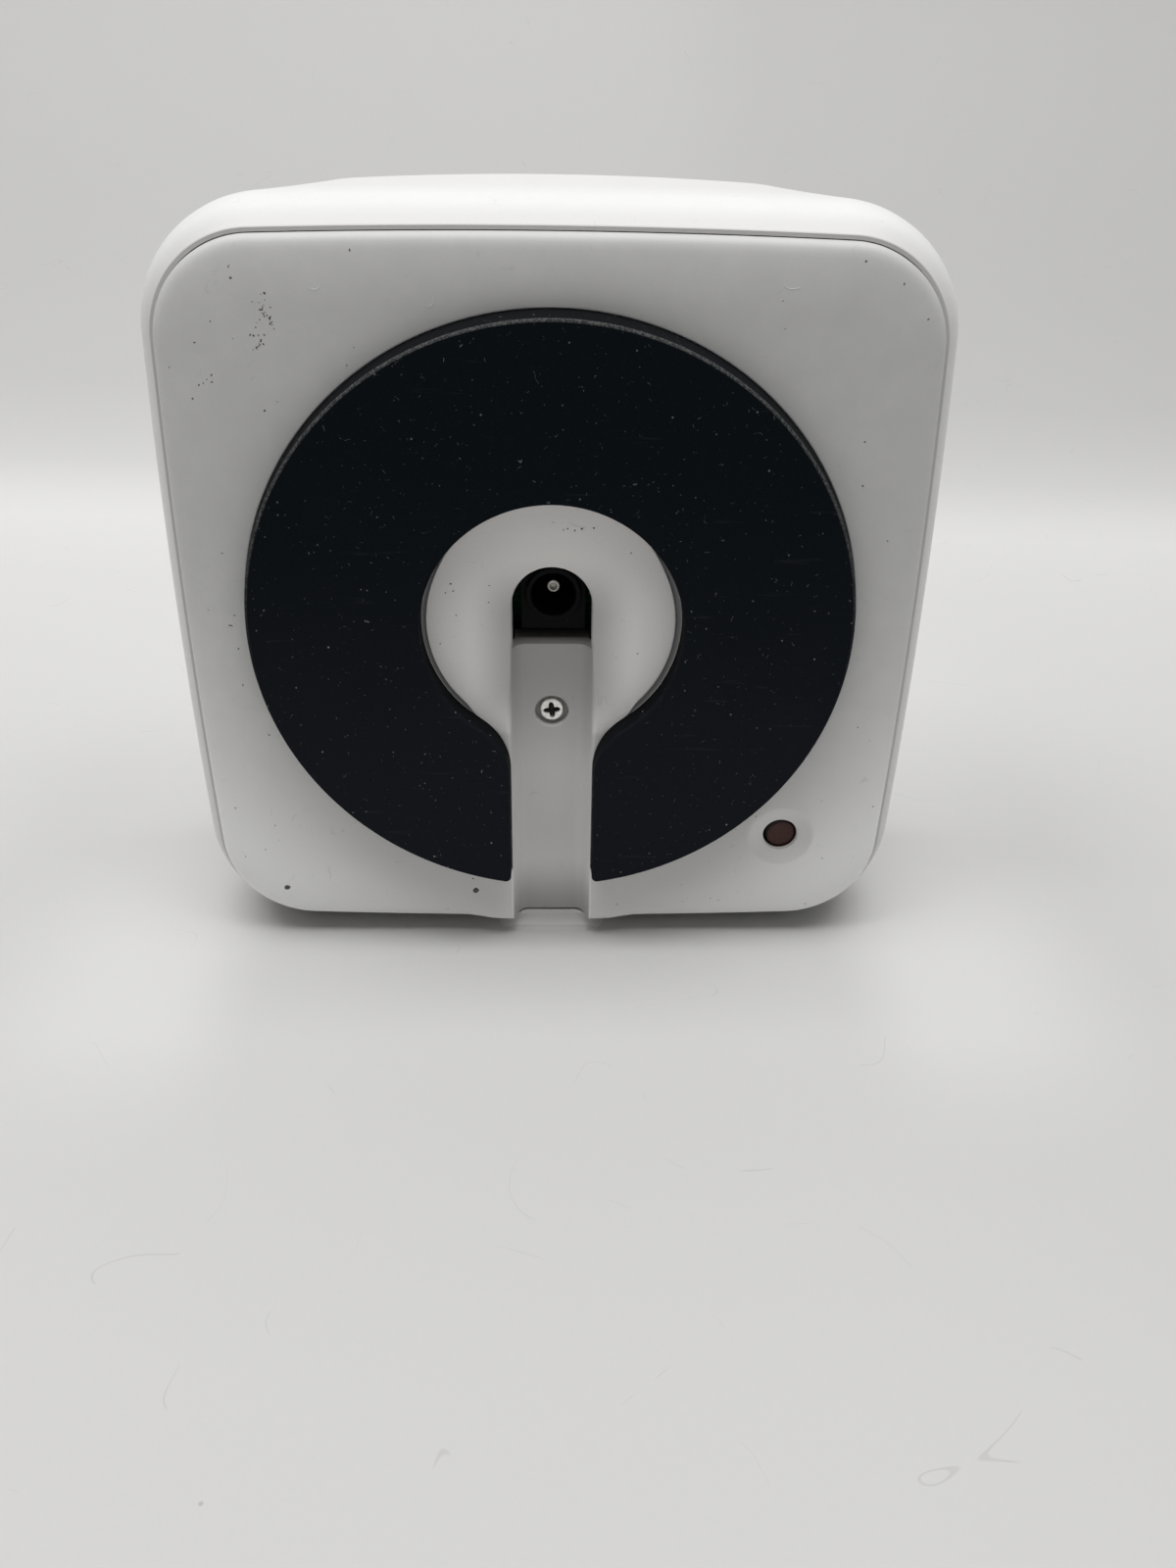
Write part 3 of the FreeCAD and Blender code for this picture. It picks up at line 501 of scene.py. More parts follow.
def shellRows(start, wall, widest):
    # rows of half width, bow, corner and depth, from a depth round the edge to the middle of the front
    depth = np.concatenate([widest - (widest - start) * np.cos(np.linspace(0, math.pi / 2, 22)),
                            widest + np.linspace(0, shell["wallDepth"] + shell["crownDepth"], 24)[1:]])
    side = shellSide(depth, wall, widest)
    across, along = [(shell["frontRound"] - wall) * line[1:] for line in quarter(15)]
    edge, edgeDepth = side[:, -1:] - across, depth[-1] + along
    shrink = np.linspace(1, 0.02, 26)[1:]
    dome = edgeDepth[-1] + (depths("outer_shell")[1] - wall - edgeDepth[-1]) * (1 - shrink ** 2)
    return np.vstack([np.hstack([side, edge, edge[:, -1:] * shrink]), np.hstack([depth, edgeDepth, dome])])


def spout():
    # below the channel the wall goes straight down to the ground and spreads like a skirt: at each height a
    # flat front with round corners
    rise = np.linspace(0, 1, 12)[:, None]
    spread = (1 - rise) ** 2
    half = shell["spoutHalf"] + shell["spoutSpread"] * spread
    radius = shell["spoutRound"] + shell["spoutRoundMore"] * spread
    across, along = quarter(12)
    x = half - radius + radius * along
    depth = channel["floor"] - shell["spoutLean"] * spread ** 2 + radius * across
    x, depth = mirrored(np.hstack([x, half]), np.hstack([depth, np.full_like(half, shell["spoutBack"])]))
    return closedGrid("spout", x, rise * shell["spoutTop"] - axisHeight / mm, depth, flatEnds=True)


def buildShell():
    # one closed surface: from the middle of the front over the edge, down the side to the lip beside the
    # groove, over the ledge, and up the inside to the middle of the front
    parting = cover["top"] + cover["rimDrop"]
    arcInset = shell["rearRound"] - (hub["halfWidth"] - hub["coverHalf"])
    widest = parting + shell["lipDrop"] + math.sqrt(shell["rearRound"] ** 2 - arcInset ** 2)
    groove, lipRound, ledge = shell["groove"], shell["lipRound"], shell["ledge"]
    lipEnd = groove + shell["lip"]
    start = widest - math.sqrt(shell["rearRound"] ** 2 - (arcInset + lipEnd) ** 2)
    outer = shellRows(start + lipRound, 0.0, widest)[:, ::-1]
    inner = shellRows(shell["ledgeEnd"], shell["wall"], widest)
    stepInset = [lipEnd - 0.02, groove + lipRound, groove, groove, -ledge, -ledge]
    stepDepth = [start, start, start + lipRound, shell["ledgeTop"], shell["ledgeTop"], shell["ledgeEnd"]]
    outlines = [bowedSquare(*outer[:3]), coverOutline(stepInset), bowedSquare(*inner[:3])]
    x, h = [np.vstack(rings) for rings in zip(*outlines)]
    depth = np.concatenate([outer[3], stepDepth, inner[3]])[:, None]
    piece = closedGrid("shell_skin", x, h, depth)
    carve(piece, channelCutter())
    join(piece, spout())
    low, high = [shell[key] - axisHeight / mm for key in ("spoutTop", "slitTop")]
    carve(piece, block("slit", -shell["slitHalf"], shell["slitHalf"], low, high, 0.0, shell["ledgeTop"]))
    return shaded(piece)


# Small pieces that show

button = {
    "radius": 2.36, "edge": 0.3,
    "shift": (0.08, -0.14),     # it sits off the hole's middle, to the right and down
    "sink": 0.1,            # its face lies this much below the node's own end
    "hollow": [(0.4, 0.05), (1.18, 0.03)],  # radius and depth on the face
    "flangeStart": 8.95, "flange": 0.8, "stem": 1.5,
}
screw = {
    "radius": 1.85, "height": 1.3, "edge": 0.35,
    "crown": [(0.2, 0.0), (0.925, 0.01)], "crownEdge": 0.04,    # radius and depth on the head
    "shank": 0.95, "tip": 0.5, "tipLength": 0.6,
    "crossHeart": 0.64,     # half width where the arms meet
    "crossArm": 0.66,       # how much further the arms reach
    "crossTaper": 1.8, "crossTurn": 0.12,
    "crossSizes": [(-0.4, 1.06), (0.0, 1.0), (0.5, 0.82), (0.85, 0.5), (0.95, 0.2)],    # depth, share
}
jack = {
    "nose": 4.0, "noseLength": 0.8, "noseEdge": 0.2,
    "bore": 3.2, "boreDepth": 9.6, "mouthEdge": 0.25,
    "pin": 1.05, "pinTip": 0.74, "pinTail": 0.5, "boardFace": 20.0,
    "pinHole": 0.5, "pinHoleDepth": 0.85, "pinHoleEdge": 0.08,
    "pinSink": 0.9,         # its tip lies this much deeper than the node's
}


def buildButton():
    # turned: a slightly hollow face with a round edge, then the guide, the flange and the stem
    low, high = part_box("reset_button")
    radius, edge, stem = button["radius"], button["edge"], button["stem"]
    first, last = depths("reset_button")
    first = first + button["sink"]
    flange, flangeStart = (high.x - low.x) / 2 / mm, button["flangeStart"]
    flangeEnd = flangeStart + button["flange"]
    profile = [*((size, first + drop) for size, drop in button["hollow"]),
               *roundCorner(radius - edge, first + edge, edge, 270, 360), (radius, flangeStart),
               (flange, flangeStart), (flange, flangeEnd), (stem, flangeEnd), (stem, last)]
    return shaded(lathe("button_cap", np.add((buttonX, buttonH), button["shift"]), profile, 72))


def buildScrew():
    # turned pan head and shank, with a cross taken out: four round-ended arms that get narrower with depth
    at = middle("case_screw")
    first, last = depths("case_screw")
    radius, edge, shank, seat = screw["radius"], screw["edge"], screw["shank"], first + screw["height"]
    profile = [*((size, first + drop) for size, drop in screw["crown"]),
               *roundCorner(radius - edge, first + screw["crownEdge"] + edge, edge, 275, 360),
               (radius, seat), (shank, seat), (shank, last - screw["tipLength"]), (screw["tip"], last)]
    piece = lathe("cover_screw", at, profile, 72)
    turn = circle(160)
    arms = screw["crossHeart"] + screw["crossArm"] * np.abs(np.cos(2 * turn)) ** screw["crossTaper"]
    turn = turn + screw["crossTurn"]
    depth, size = np.array(screw["crossSizes"]).T[:, :, None]
    x, h = at[0] + arms * size * np.cos(turn), at[1] + arms * size * np.sin(turn)
    carve(piece, closedGrid("cross", x, h, first + depth))
    return shaded(piece)


def buildJack():
    # square body with a round nose, the bore and its rounded mouth
    at = middle("jack_center_pin")
    low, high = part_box("jack_housing")
    first, last = depths("jack_housing")
    foot, top = (low.z - axisHeight) / mm, (high.z - axisHeight) / mm
    nose, bore, face = jack["nose"], jack["bore"], first + jack["noseLength"]
    noseEdge, mouthEdge = jack["noseEdge"], jack["mouthEdge"]
    piece = block("jack_socket", low.x / mm, high.x / mm, foot, top, face, last)
    rim = roundCorner(nose - noseEdge, first + noseEdge, noseEdge, 270, 360)
    join(piece, lathe("nose", at, [(0.5, first), *rim, (nose, face + 0.3)]))
    mouth = roundCorner(bore + mouthEdge, first + mouthEdge, mouthEdge, 270, 180)
    profile = [(0.5, first - 1), (bore + mouthEdge, first - 1), *mouth, (bore, first + jack["boreDepth"])]
    carve(piece, lathe("bore", at, profile))
    return shaded(piece)


def buildPin():
    # turned pin: a flat ring round the hole in its tip, a round shoulder and the tail
    first, last = depths("jack_center_pin")
    first = first + jack["pinSink"]
    pin, tip, hole, tail = jack["pin"], jack["pinTip"], jack["pinHole"], jack["pinTail"]
    bottom, edge, board = first + jack["pinHoleDepth"], jack["pinHoleEdge"], jack["boardFace"]
    profile = [(0.1, bottom + 0.05), (hole, bottom), (hole, first + edge), (hole + 0.06, first),
               (tip - 0.05, first), *roundCorner(tip, first + pin - tip, pin - tip, 275, 360, 9),
               (pin, board), (tail, board), (tail, last)]
    return shaded(lathe("socket_pin", middle("jack_center_pin"), profile, 64))


# Grime and lint on the cover's face. Scuffs are trails of small flat grains, lint is short bent hairs.

grime = {
    "seed": 11,
    "single": 46,           # grains strewn over the whole face
    "size": (0.07, 0.17),
    "proud": 0.012, "sunk": 0.05, "sides": 8,
    "offPad": 1.2, "offHole": 0.8, "offChannel": 2.5, "offArch": 1.0, "offEdge": 1.0,   # bare strips
    "trails": [             # middle, reach, lean in degrees, spread to the sides, how many
        (-36.6, 41.5, 4.6, 70, 0.7, 20),
        (-35.3, 41.2, 1.5, 100, 0.25, 14),
        (-36.9, 38.0, 2.0, 60, 0.25, 12),
        (-44.1, 33.4, 1.2, 30, 0.6, 5),
        (-39.8, 46.6, 3.2, 92, 0.5, 3),
        (3.0, 13.9, 3.4, 160, 1.3, 6),
        (-14.2, 5.4, 1.6, 75, 0.5, 3),
        (-44.6, 0.2, 3.6, 70, 0.5, 4),
    ],
    "chips": [              # middle, radius
        (-11.9, -45.7, 0.55), (-12.3, -43.4, 0.2), (-41.5, -45.2, 0.5), (38.9, 48.7, 0.16), (44.0, 46.1, 0.2),
    ],
    "hairRadius": 0.035, "hairLift": 0.3,
    "hairs": [              # start, heading in degrees, length, bend from start to end in degrees
        (-38.2, -31.0, 60, 3.4, -400),
        (-15.1, 44.2, 300, 2.0, -150),
        (2.2, 14.9, -30, 2.6, 30),
        (45.0, 2.0, 250, 1.6, 60),
        (-41.2, -43.8, 20, 1.5, 90),
        (31.0, 45.6, 200, 2.4, -80),
        (-30.2, 44.9, 330, 1.7, 120),
    ],
}


def onFace(x, h):
    # true where the cover's face is bare and whole: off the pad, the channel, the arch and the button
    radius = np.hypot(x, h)
    bare = (radius > pad["radius"] + grime["offPad"]) | (radius < pad["holeRadius"] - grime["offHole"])
    hollow = np.abs(x) < channel["half"] + grime["offChannel"]
    hollow = hollow & (h < arch["middle"] + arch["half"] + grime["offArch"])
    hidden = np.hypot(x - buttonX, h - buttonH) < cover["fingerRadius"]
    return bare & ~hollow & ~hidden & (edgeDistance(x, h) > grime["offEdge"])


def buildGrains():
    # grains as low buttons, all in one mesh: a top ring a hair above the face and a bottom ring sunk in it
    dice = np.random.default_rng(grime["seed"])
    spots = dice.uniform(-hub["coverHalf"], hub["coverHalf"], (grime["single"] * 3, 2))
    spots = spots[onFace(*spots.T)][:grime["single"]]
    for x, h, reach, lean, spread, count in grime["trails"]:
        along, aside = dice.normal(0, reach / 2, count), dice.normal(0, spread / 2, count)
        turn = math.radians(lean)
        trail = np.stack([x + along * math.cos(turn) - aside * math.sin(turn),
                          h + along * math.sin(turn) + aside * math.cos(turn)], axis=-1)
        spots = np.vstack([spots, trail[onFace(*trail.T)]])
    radius = dice.uniform(*grime["size"], len(spots))
    chips = np.array(grime["chips"])
    spots = np.vstack([spots, chips[:, :2]])
    radius = np.concatenate([radius, chips[:, 2]])[:, None]
    count, sides = len(spots), grime["sides"]
    turn = circle(sides) + dice.uniform(0, 1, (count, 1))
    lean = dice.uniform(0, math.pi, (count, 1))
    wide, narrow = radius * np.cos(turn), radius * np.sin(turn) * dice.uniform(0.45, 0.9, (count, 1))
    wide = wide * dice.uniform(0.8, 1.2, (count, sides))
    x = spots[:, :1] + wide * np.cos(lean) - narrow * np.sin(lean)
    h = spots[:, 1:] + wide * np.sin(lean) + narrow * np.cos(lean)
    face = coverDepth(x, h)
    points = np.concatenate([placed(x, h, face - grime["proud"]), placed(x, h, face + grime["sunk"])], axis=1)
    top, bottom = np.arange(count * sides * 2).reshape(count, 2, sides).transpose(1, 0, 2)
    nextTop, nextBottom = np.roll(top, -1, axis=1), np.roll(bottom, -1, axis=1)
    around = np.stack([top, bottom, nextBottom, nextTop], axis=-1)
    corners = np.concatenate([top.ravel(), bottom[:, ::-1].ravel(), around.ravel()])
    sizes = np.repeat([sides, 4], [count * 2, count * sides])
    return meshFrom("grime_grains", points.reshape(-1, 3), corners, sizes)


def buildHairs():
    # each hair is a thin round tube along a path whose heading turns evenly from start to end
    made = []
    share = np.linspace(0, 1, 40)[:, None]
    thin = grime["hairRadius"] * np.sqrt(np.clip(1 - (2 * share - 1) ** 6, 0.02, 1))
    side, rise = thin * np.cos(circle(6)), thin * np.sin(circle(6))
    for x, h, heading, length, bend in grime["hairs"]:
        course = np.radians(heading + bend * share ** 1.6)
        across, up = np.cos(course), np.sin(course)
        step = length / (len(share) - 1)
        pathX, pathH = x + np.cumsum(across, axis=0) * step, h + np.cumsum(up, axis=0) * step
        depth = coverDepth(pathX, pathH) - grime["hairRadius"] * grime["hairLift"] - rise
        made.append(closedGrid("lint_hairs", pathX - up * side, pathH + across * side, depth))
    join(*made)
    return shaded(made[0])


builders = [
    (buildShell, "hub", "outer_shell", "shell_white"),
    (buildCover, "hub", "base_cover", "cover_white"),
    (buildPad, "hub", "rubber_pad", "pad_rubber"),
    (buildButton, "button", "reset_button", "button_brown"),
    (buildScrew, "hub", "case_screw", "screw_steel"),
    (buildJack, "hub", "jack_housing", "jack_black"),
    (buildPin, "hub", "jack_center_pin", "contact_nickel"),
]
pieces = {}
for build, body, node, slot in builders:
    piece = build()
    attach(piece, body)
    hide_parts(node)
    pieces[node] = piece
    print(piece.name, "for", node, "faces", len(piece.data.polygons))

dirt = [buildGrains(), buildHairs()]
for piece in dirt:
    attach(piece, "hub")
    print(piece.name, "faces", len(piece.data.polygons))


# Finishes. Place is measured in millimetres in the frame, so scales read as features per millimetre.

def maths(operation, swapped=False):
    # a method that adds one maths node
    def act(signal, *others):
        values = (*others, signal) if swapped else (signal, *others)
        return signal.nodes.node("ShaderNodeMath", {"operation": operation}, dict(enumerate(values)))
    return act


class Signal:
    # an output of a shader node: plain sums on it add the maths nodes
    def __init__(self, nodes, socket):
        self.nodes = nodes
        self.socket = socket

    __add__ = maths("ADD")
    __radd__ = maths("ADD", True)
    __sub__ = maths("SUBTRACT")
    __rsub__ = maths("SUBTRACT", True)
    __mul__ = maths("MULTIPLY")
    __rmul__ = maths("MULTIPLY", True)
    __truediv__ = maths("DIVIDE")
    __pow__ = maths("POWER")
    most = maths("MAXIMUM")
    size = maths("ABSOLUTE")

    def over(self, low, high):
        # 0 up to low, 1 from high on, and a soft step between; the other way round where high is the smaller
        return self.nodes.node("ShaderNodeMapRange", {"interpolation_type": "SMOOTHSTEP"},
                               {"Value": self, "From Min": low, "From Max": high})

    def also(self, output):
        # another output of the same node
        return Signal(self.nodes, self.socket.node.outputs[output])


class Nodes:
    # the nodes of a material or of the world
    def __init__(self, owner):
        owner.use_nodes = True
        self.owner = owner
        self.tree = owner.node_tree
        self.tree.nodes.clear()

    def node(self, kind, settings=None, values=None, output=0):
        # any node: its settings or a ramp's stops first, then its sockets' values or links
        made = self.tree.nodes.new(kind)
        for key, value in (settings or {}).items():
            if key == "stops":
                while len(made.color_ramp.elements) < len(value):
                    made.color_ramp.elements.new(1.0)
                for element, (position, colour) in zip(made.color_ramp.elements, value):
                    element.position = position
                    element.color = (*colour, 1.0)
            else:
                setattr(made, key, value)
        for key, value in (values or {}).items():
            socket = made.inputs[key]
            if isinstance(value, Signal):
                self.tree.links.new(value.socket, socket)
            elif socket.type == "RGBA":
                socket.default_value = (*value, 1)
            else:
                socket.default_value = value
        return Signal(self, made.outputs[output])

    def ended(self, shader, kind):
        # the shader goes to the output
        self.tree.links.new(shader.socket, self.tree.nodes.new(kind).inputs["Surface"])
        return self.owner


class Paint(Nodes):
    # one material under construction
    def __init__(self, name):
        super().__init__(bpy.data.materials.new(name))
        self.place = self.moved(self.node("ShaderNodeTexCoord", output="Object"), 1 / mm)
        self.x = self.node("ShaderNodeSeparateXYZ", {}, {0: self.place})
        self.y, self.z = self.x.also(1), self.x.also(2)

    def depth(self):
        return self.y - padFace / mm

    def moved(self, vector, scale):
        # a vector times one number, or times one number for each direction
        if isinstance(scale, tuple):
            return self.node("ShaderNodeVectorMath", {"operation": "MULTIPLY"}, {0: vector, 1: scale})
        return self.node("ShaderNodeVectorMath", {"operation": "SCALE"}, {0: vector, "Scale": scale})

    def distance(self, x, h):
        # how far a place lies from a point of the face, looking along the depth
        across, up = self.x - x, self.z - (axisHeight / mm + h)
        return (across * across + up * up) ** 0.5

    def noise(self, scale, detail=2, rough=0.5, distort=0, at=None):
        values = {"Scale": scale, "Detail": detail, "Roughness": rough, "Distortion": distort}
        return self.node("ShaderNodeTexNoise", {}, {"Vector": at or self.place, **values})

    def mix(self, share, first, second):
        # from the first colour to the second
        return self.node("ShaderNodeMix", {"data_type": "RGBA"}, {0: share, 6: first, 7: second}, 2)

    def coats(self, colour, *coats):
        # colours laid over one another, each with its share
        for share, coat in coats:
            colour = self.mix(share, colour, coat)
        return colour

    def grains(self, cell, radius):
        # about one round grain in each cell of this size; a flat face cuts only some of them
        cells = self.node("ShaderNodeTexVoronoi", {}, {"Vector": self.place, "Scale": 1 / cell})
        strength = self.node("ShaderNodeSeparateColor", {}, {0: cells.also(1)})
        return (cells * cell).over(radius, radius * 0.5) * (strength ** 1.5)

    def hairs(self, scale, width, cover):
        # short bent lines: where a slow noise passes its middle value, and only inside a few patches
        line = (self.noise(scale, 1, 0.4, 0.6) - 0.5).size().over(width, width * 0.3)
        return line * self.noise(scale * 2.3, 2).over(cover, cover + 0.03)

    def done(self, colour, rough, height, depth, strength, more=None):
        # the shader; its bump has a height from 0 to 1 and a depth in millimetres
        bump = {"Strength": strength, "Distance": depth * mm, "Height": height}
        values = {"Base Color": colour, "Roughness": rough, "Normal": self.node("ShaderNodeBump", {}, bump)}
        values.update(more or {})
        return self.ended(self.node("ShaderNodeBsdfPrincipled", {}, values), "ShaderNodeOutputMaterial")


def specular(level):
    # how strongly plain stuff mirrors
    return {"Specular IOR Level": level}


def mouldedPlastic(paint, colour, gloss):
    # what all moulded white has over its tone: fine grain, a few dull specks, rubbed hairs and a cloudy gloss
    film = paint.noise(0.22, 5, 0.6)
    grain = paint.noise(4.5, 3, 0.7)
    rubs = paint.hairs(0.16, 0.006, 0.6)
    colour = paint.coats(colour, (grain.over(0.3, 0.75) * 0.06, (0.35, 0.34, 0.33)),
                         ((paint.grains(3.2, 0.13) * 0.7).most(rubs * 0.12), (0.16, 0.15, 0.14)))
    rough = gloss + (film - 0.5) * 0.16 + rubs * 0.1 - (grain - 0.5) * 0.06
    return paint.done(colour, rough, grain * 0.7 + film * 0.3, 0.02, 0.35, specular(0.42))


def shellPlastic():
    # painted shade: greyer towards the lip and greyest on the lip's flat, which faces forward away from the
    # overhead light; the wall that lies on top is painted darker as shade, toning down the overhead light
    # there
    paint = Paint("shell_white_satin")
    depth = paint.depth()
    clouds = (paint.noise(0.03, 3) * 0.5 + paint.noise(0.22, 5, 0.6) * 0.5).over(0.4, 0.62)
    colour = paint.coats(
        (0.84, 0.84, 0.825),
        (clouds, (0.815, 0.82, 0.81)),
        # painted shade on the wall that lies on top
        (depth.over(12, 24) * paint.z.over(80, 108), (0.765, 0.76, 0.75)),
        # painted shade towards the lip, darkest on its flat
        (depth.over(11, 6.5), (0.71, 0.705, 0.695)),
        (depth.over(6.6, 6.45), (0.57, 0.565, 0.555)))
    return mouldedPlastic(paint, colour, 0.44)


def coverPlastic():
    # outside the pad greyer and cloudy, with painted light from the floor: paler towards the bottom and
    # palest at the lower corners. The dished middle painted much paler as painted light, palest at its top,
    # with painted shade beside the arch and on the recess where it shows beside the pad's hole, and painted
    # highlights along its edge and the neck's edges; the channel's floor has painted shade, greyest at both
    # of its ends; the finger dish has painted light above the button and painted shade below it; the button's
    # hole painted dark inside as shade
    paint = Paint("cover_white_satin")
    top, dish, neck, half = cover["top"], cover["dishRadius"], pad["neckHalf"], channel["half"]
    h = paint.z - axisHeight / mm
    aside = paint.x.size()
    radius = paint.distance(0, 0)
    depth = paint.depth()
    away = paint.distance(buttonX, buttonH)
    fingerLitSide = (h - buttonH) * 0.8 - (paint.x - buttonX) * 0.5
    # painted shade: the button's hole dark inside
    bore = away.over(cover["buttonHole"] + 0.15, cover["buttonHole"]) * depth.over(top + 1.05, top + 1.2)
    trough = aside.over(neck - 0.05, half + 0.3) * h.over(channel["start"] + 1.5, channel["start"] + 0.1)
    # painted shade on the recess where it shows beside the pad's hole
    ledge = depth.over(top + 0.2, top + 0.35) * radius.over(dish - 0.4, dish - 0.2)
    ledge = ledge * radius.over(dish + 1.3, dish + 0.9) * aside.over(half + 1.3, half + 2.3)
    # painted highlights: thin pale lines along the dish's edge and the neck's edges
    lip = (radius - (dish - 0.05)).size().over(0.2, 0.05) * depth.over(top + 0.25, top + 0.15)
    neckHighlight = (aside - (neck - 0.05)).size().over(0.15, 0.05) * h.over(-24, -27)
    lip = (lip * aside.over(9, 11)).most(neckHighlight) * h.over(15, 5)
    clouds = paint.noise(0.03, 3) * 0.3 + paint.noise(0.22, 5, 0.6) * 0.3
    # painted light from the floor: paler towards the bottom and palest at the lower corners
    outside = paint.coats(
        (0.585, 0.585, 0.575),
        ((clouds + h.over(20, -45) * 0.5).over(0.15, 0.8), (0.755, 0.75, 0.735)),
        (h.over(0, -40) * radius.over(46, 62), (0.93, 0.93, 0.92)))
    # painted light: the dished middle much paler than the rest, palest at its top
    inside = paint.coats(
        (0.91, 0.895, 0.875),
        (h.over(-4, 12), (0.955, 0.93, 0.91)),
        # painted shade beside the arch
        (aside.over(half + 7, half) * h.over(10, 0) * h.over(-19, -11), (0.54, 0.53, 0.52)),
        (ledge, (0.36, 0.36, 0.365)))
    # painted shade on the channel's floor, darkest at both of its ends
    floor = paint.coats(
        (0.43, 0.42, 0.41),
        (h.over(-8, -27), (0.765, 0.755, 0.745)),
        (h.over(-41, -52), (0.4, 0.395, 0.39)))
    # painted light above the button and painted shade below it
    finger = paint.mix(fingerLitSide.over(-3, 3.5), (0.56, 0.555, 0.545), (0.93, 0.92, 0.91))
    colour = paint.coats(
        outside,
        (radius.over(dish + 1.8, dish + 0.6), inside),
        (trough, floor),
        (away.over(cover["fingerRadius"] + 0.4, cover["fingerRadius"] - 0.3) * 0.4, finger),
        (lip * 0.7, (0.95, 0.94, 0.93)),
        (bore, (0.03, 0.015, 0.013)))
    return mouldedPlastic(paint, colour, 0.5)


def buttonPlastic():
    # reddish brown, fine grained; a painted shadow from the hole's rim along the upper left of its edge
    paint = Paint("button_brown_moulded")
    grain = paint.noise(3, 4, 0.65)
    colour = paint.coats(
        (0.062, 0.027, 0.022),
        (grain.over(0.38, 0.64), (0.075, 0.034, 0.028)),
        (paint.grains(1.2, 0.1) * 0.15, (0.4, 0.4, 0.39)),
        # painted shadow from the hole's rim along the upper left
        (paint.distance(buttonX + 0.4, buttonH - 0.5).over(2.05, 2.35), (0.006, 0.004, 0.004)))
    return paint.done(colour, 0.5 + (grain - 0.5) * 0.1, grain, 0.02, 0.4, specular(0.2))


def padRubber():
    # matt, nearly black, with pale dust, lint and scratches; the edge is rubbed pale; the side wall dusty,
    # and painted darker than the face as shade
    paint = Paint("pad_rubber_dusty")
    drift = paint.noise(0.05, 3)
    grain = paint.noise(3.5, 4, 0.65)
    dust = paint.grains(2.2, 0.17) * (paint.z.over(105, 50) * 0.45 + 0.25)
    dust = dust.most(paint.grains(1, 0.1) * 0.2)
    scratch = paint.noise(0.9, 2, 0.5, 0.2, paint.moved(paint.place, (0.12, 1, 1.4))).over(0.68, 0.76)
    worn = paint.node("ShaderNodeAttribute", {"attribute_name": "edgeWear"}, output="Fac")
    rubbed = worn * (paint.noise(3.4, 4, 0.75).over(0.42, 0.6) * 0.75 + 0.2)
    colour = paint.coats(
        (0.0022, 0.0044, 0.0066),
        ((drift * 0.4 + paint.z.over(90, 10) * 0.8).over(0.1, 1), (0.0085, 0.0105, 0.0145)),
        # painted shade: the side wall darker than the face
        (paint.depth().over(0.3, 0.8), (0.0028, 0.0034, 0.0042)),
        (grain.over(0.45, 0.8) * 0.12, (0.03, 0.033, 0.036)),
        (scratch * 0.05, (0.12, 0.125, 0.13)),
        (dust.most(paint.hairs(0.5, 0.006, 0.64) * 0.35), (0.42, 0.43, 0.43)),
        (rubbed * 0.45, (0.22, 0.22, 0.215)))
    return paint.done(colour, 0.72 + (drift - 0.5) * 0.2, grain, 0.03, 0.4, specular(0.06))


def screwSteel():
    # bright plating turned in fine rings; the cross painted dark brown inside as shade in its recess
    paint = Paint("screw_steel_plated")
    radius = paint.distance(*middle("case_screw"))
    rings = paint.noise(9, 2, 0.5, 0, paint.node("ShaderNodeCombineXYZ", {}, {0: radius}))
    stain = paint.noise(1.6, 4, 0.6)
    # painted shade inside the cross's recess
    sunk = (paint.depth() - depths("case_screw")[0]).over(0.1, 0.3) * radius.over(1.35, 1.15)
    colour = paint.coats((0.86, 0.855, 0.83), (stain.over(0.35, 0.7), (0.66, 0.64, 0.6)),
                         (sunk, (0.018, 0.011, 0.008)))
    rough = 0.3 + (stain - 0.5) * 0.2 + sunk * 0.4
    return paint.done(colour, rough, rings, 0.01, 0.5, {"Metallic": 1 - sunk})


def metal(name, bright, faded, gloss, along=(1, 1, 1), streaks=2):
    # plated or drawn metal: streaks along one direction, and cloudy faded patches
    paint = Paint(name)
    brushed = paint.noise(streaks, 3, 0.6, 0, paint.moved(paint.place, along))
    cloud = paint.noise(0.5, 4, 0.6)
    colour = paint.mix((brushed * 0.5 + cloud * 0.5).over(0.35, 0.65), bright, faded)
    return paint.done(colour, gloss + (brushed - 0.5) * 0.2, brushed, 0.01, 0.4, {"Metallic": 1})


def dull(name, first, second, gloss, fine=3, shine=0.4, dusty=0):
    # moulded, sintered or cast stuff: two tones in fine grain, with a little dust on it
    paint = Paint(name)
    grain = paint.noise(fine, 4, 0.65)
    cloud = paint.noise(fine * 0.1, 3)
    colour = paint.coats(first, ((grain * 0.5 + cloud * 0.5).over(0.38, 0.64), second),
                         (paint.grains(1.2, 0.1) * dusty, (0.4, 0.4, 0.39)))
    return paint.done(colour, gloss + (cloud - 0.5) * 0.15, grain, 0.02, 0.4, specular(shine))


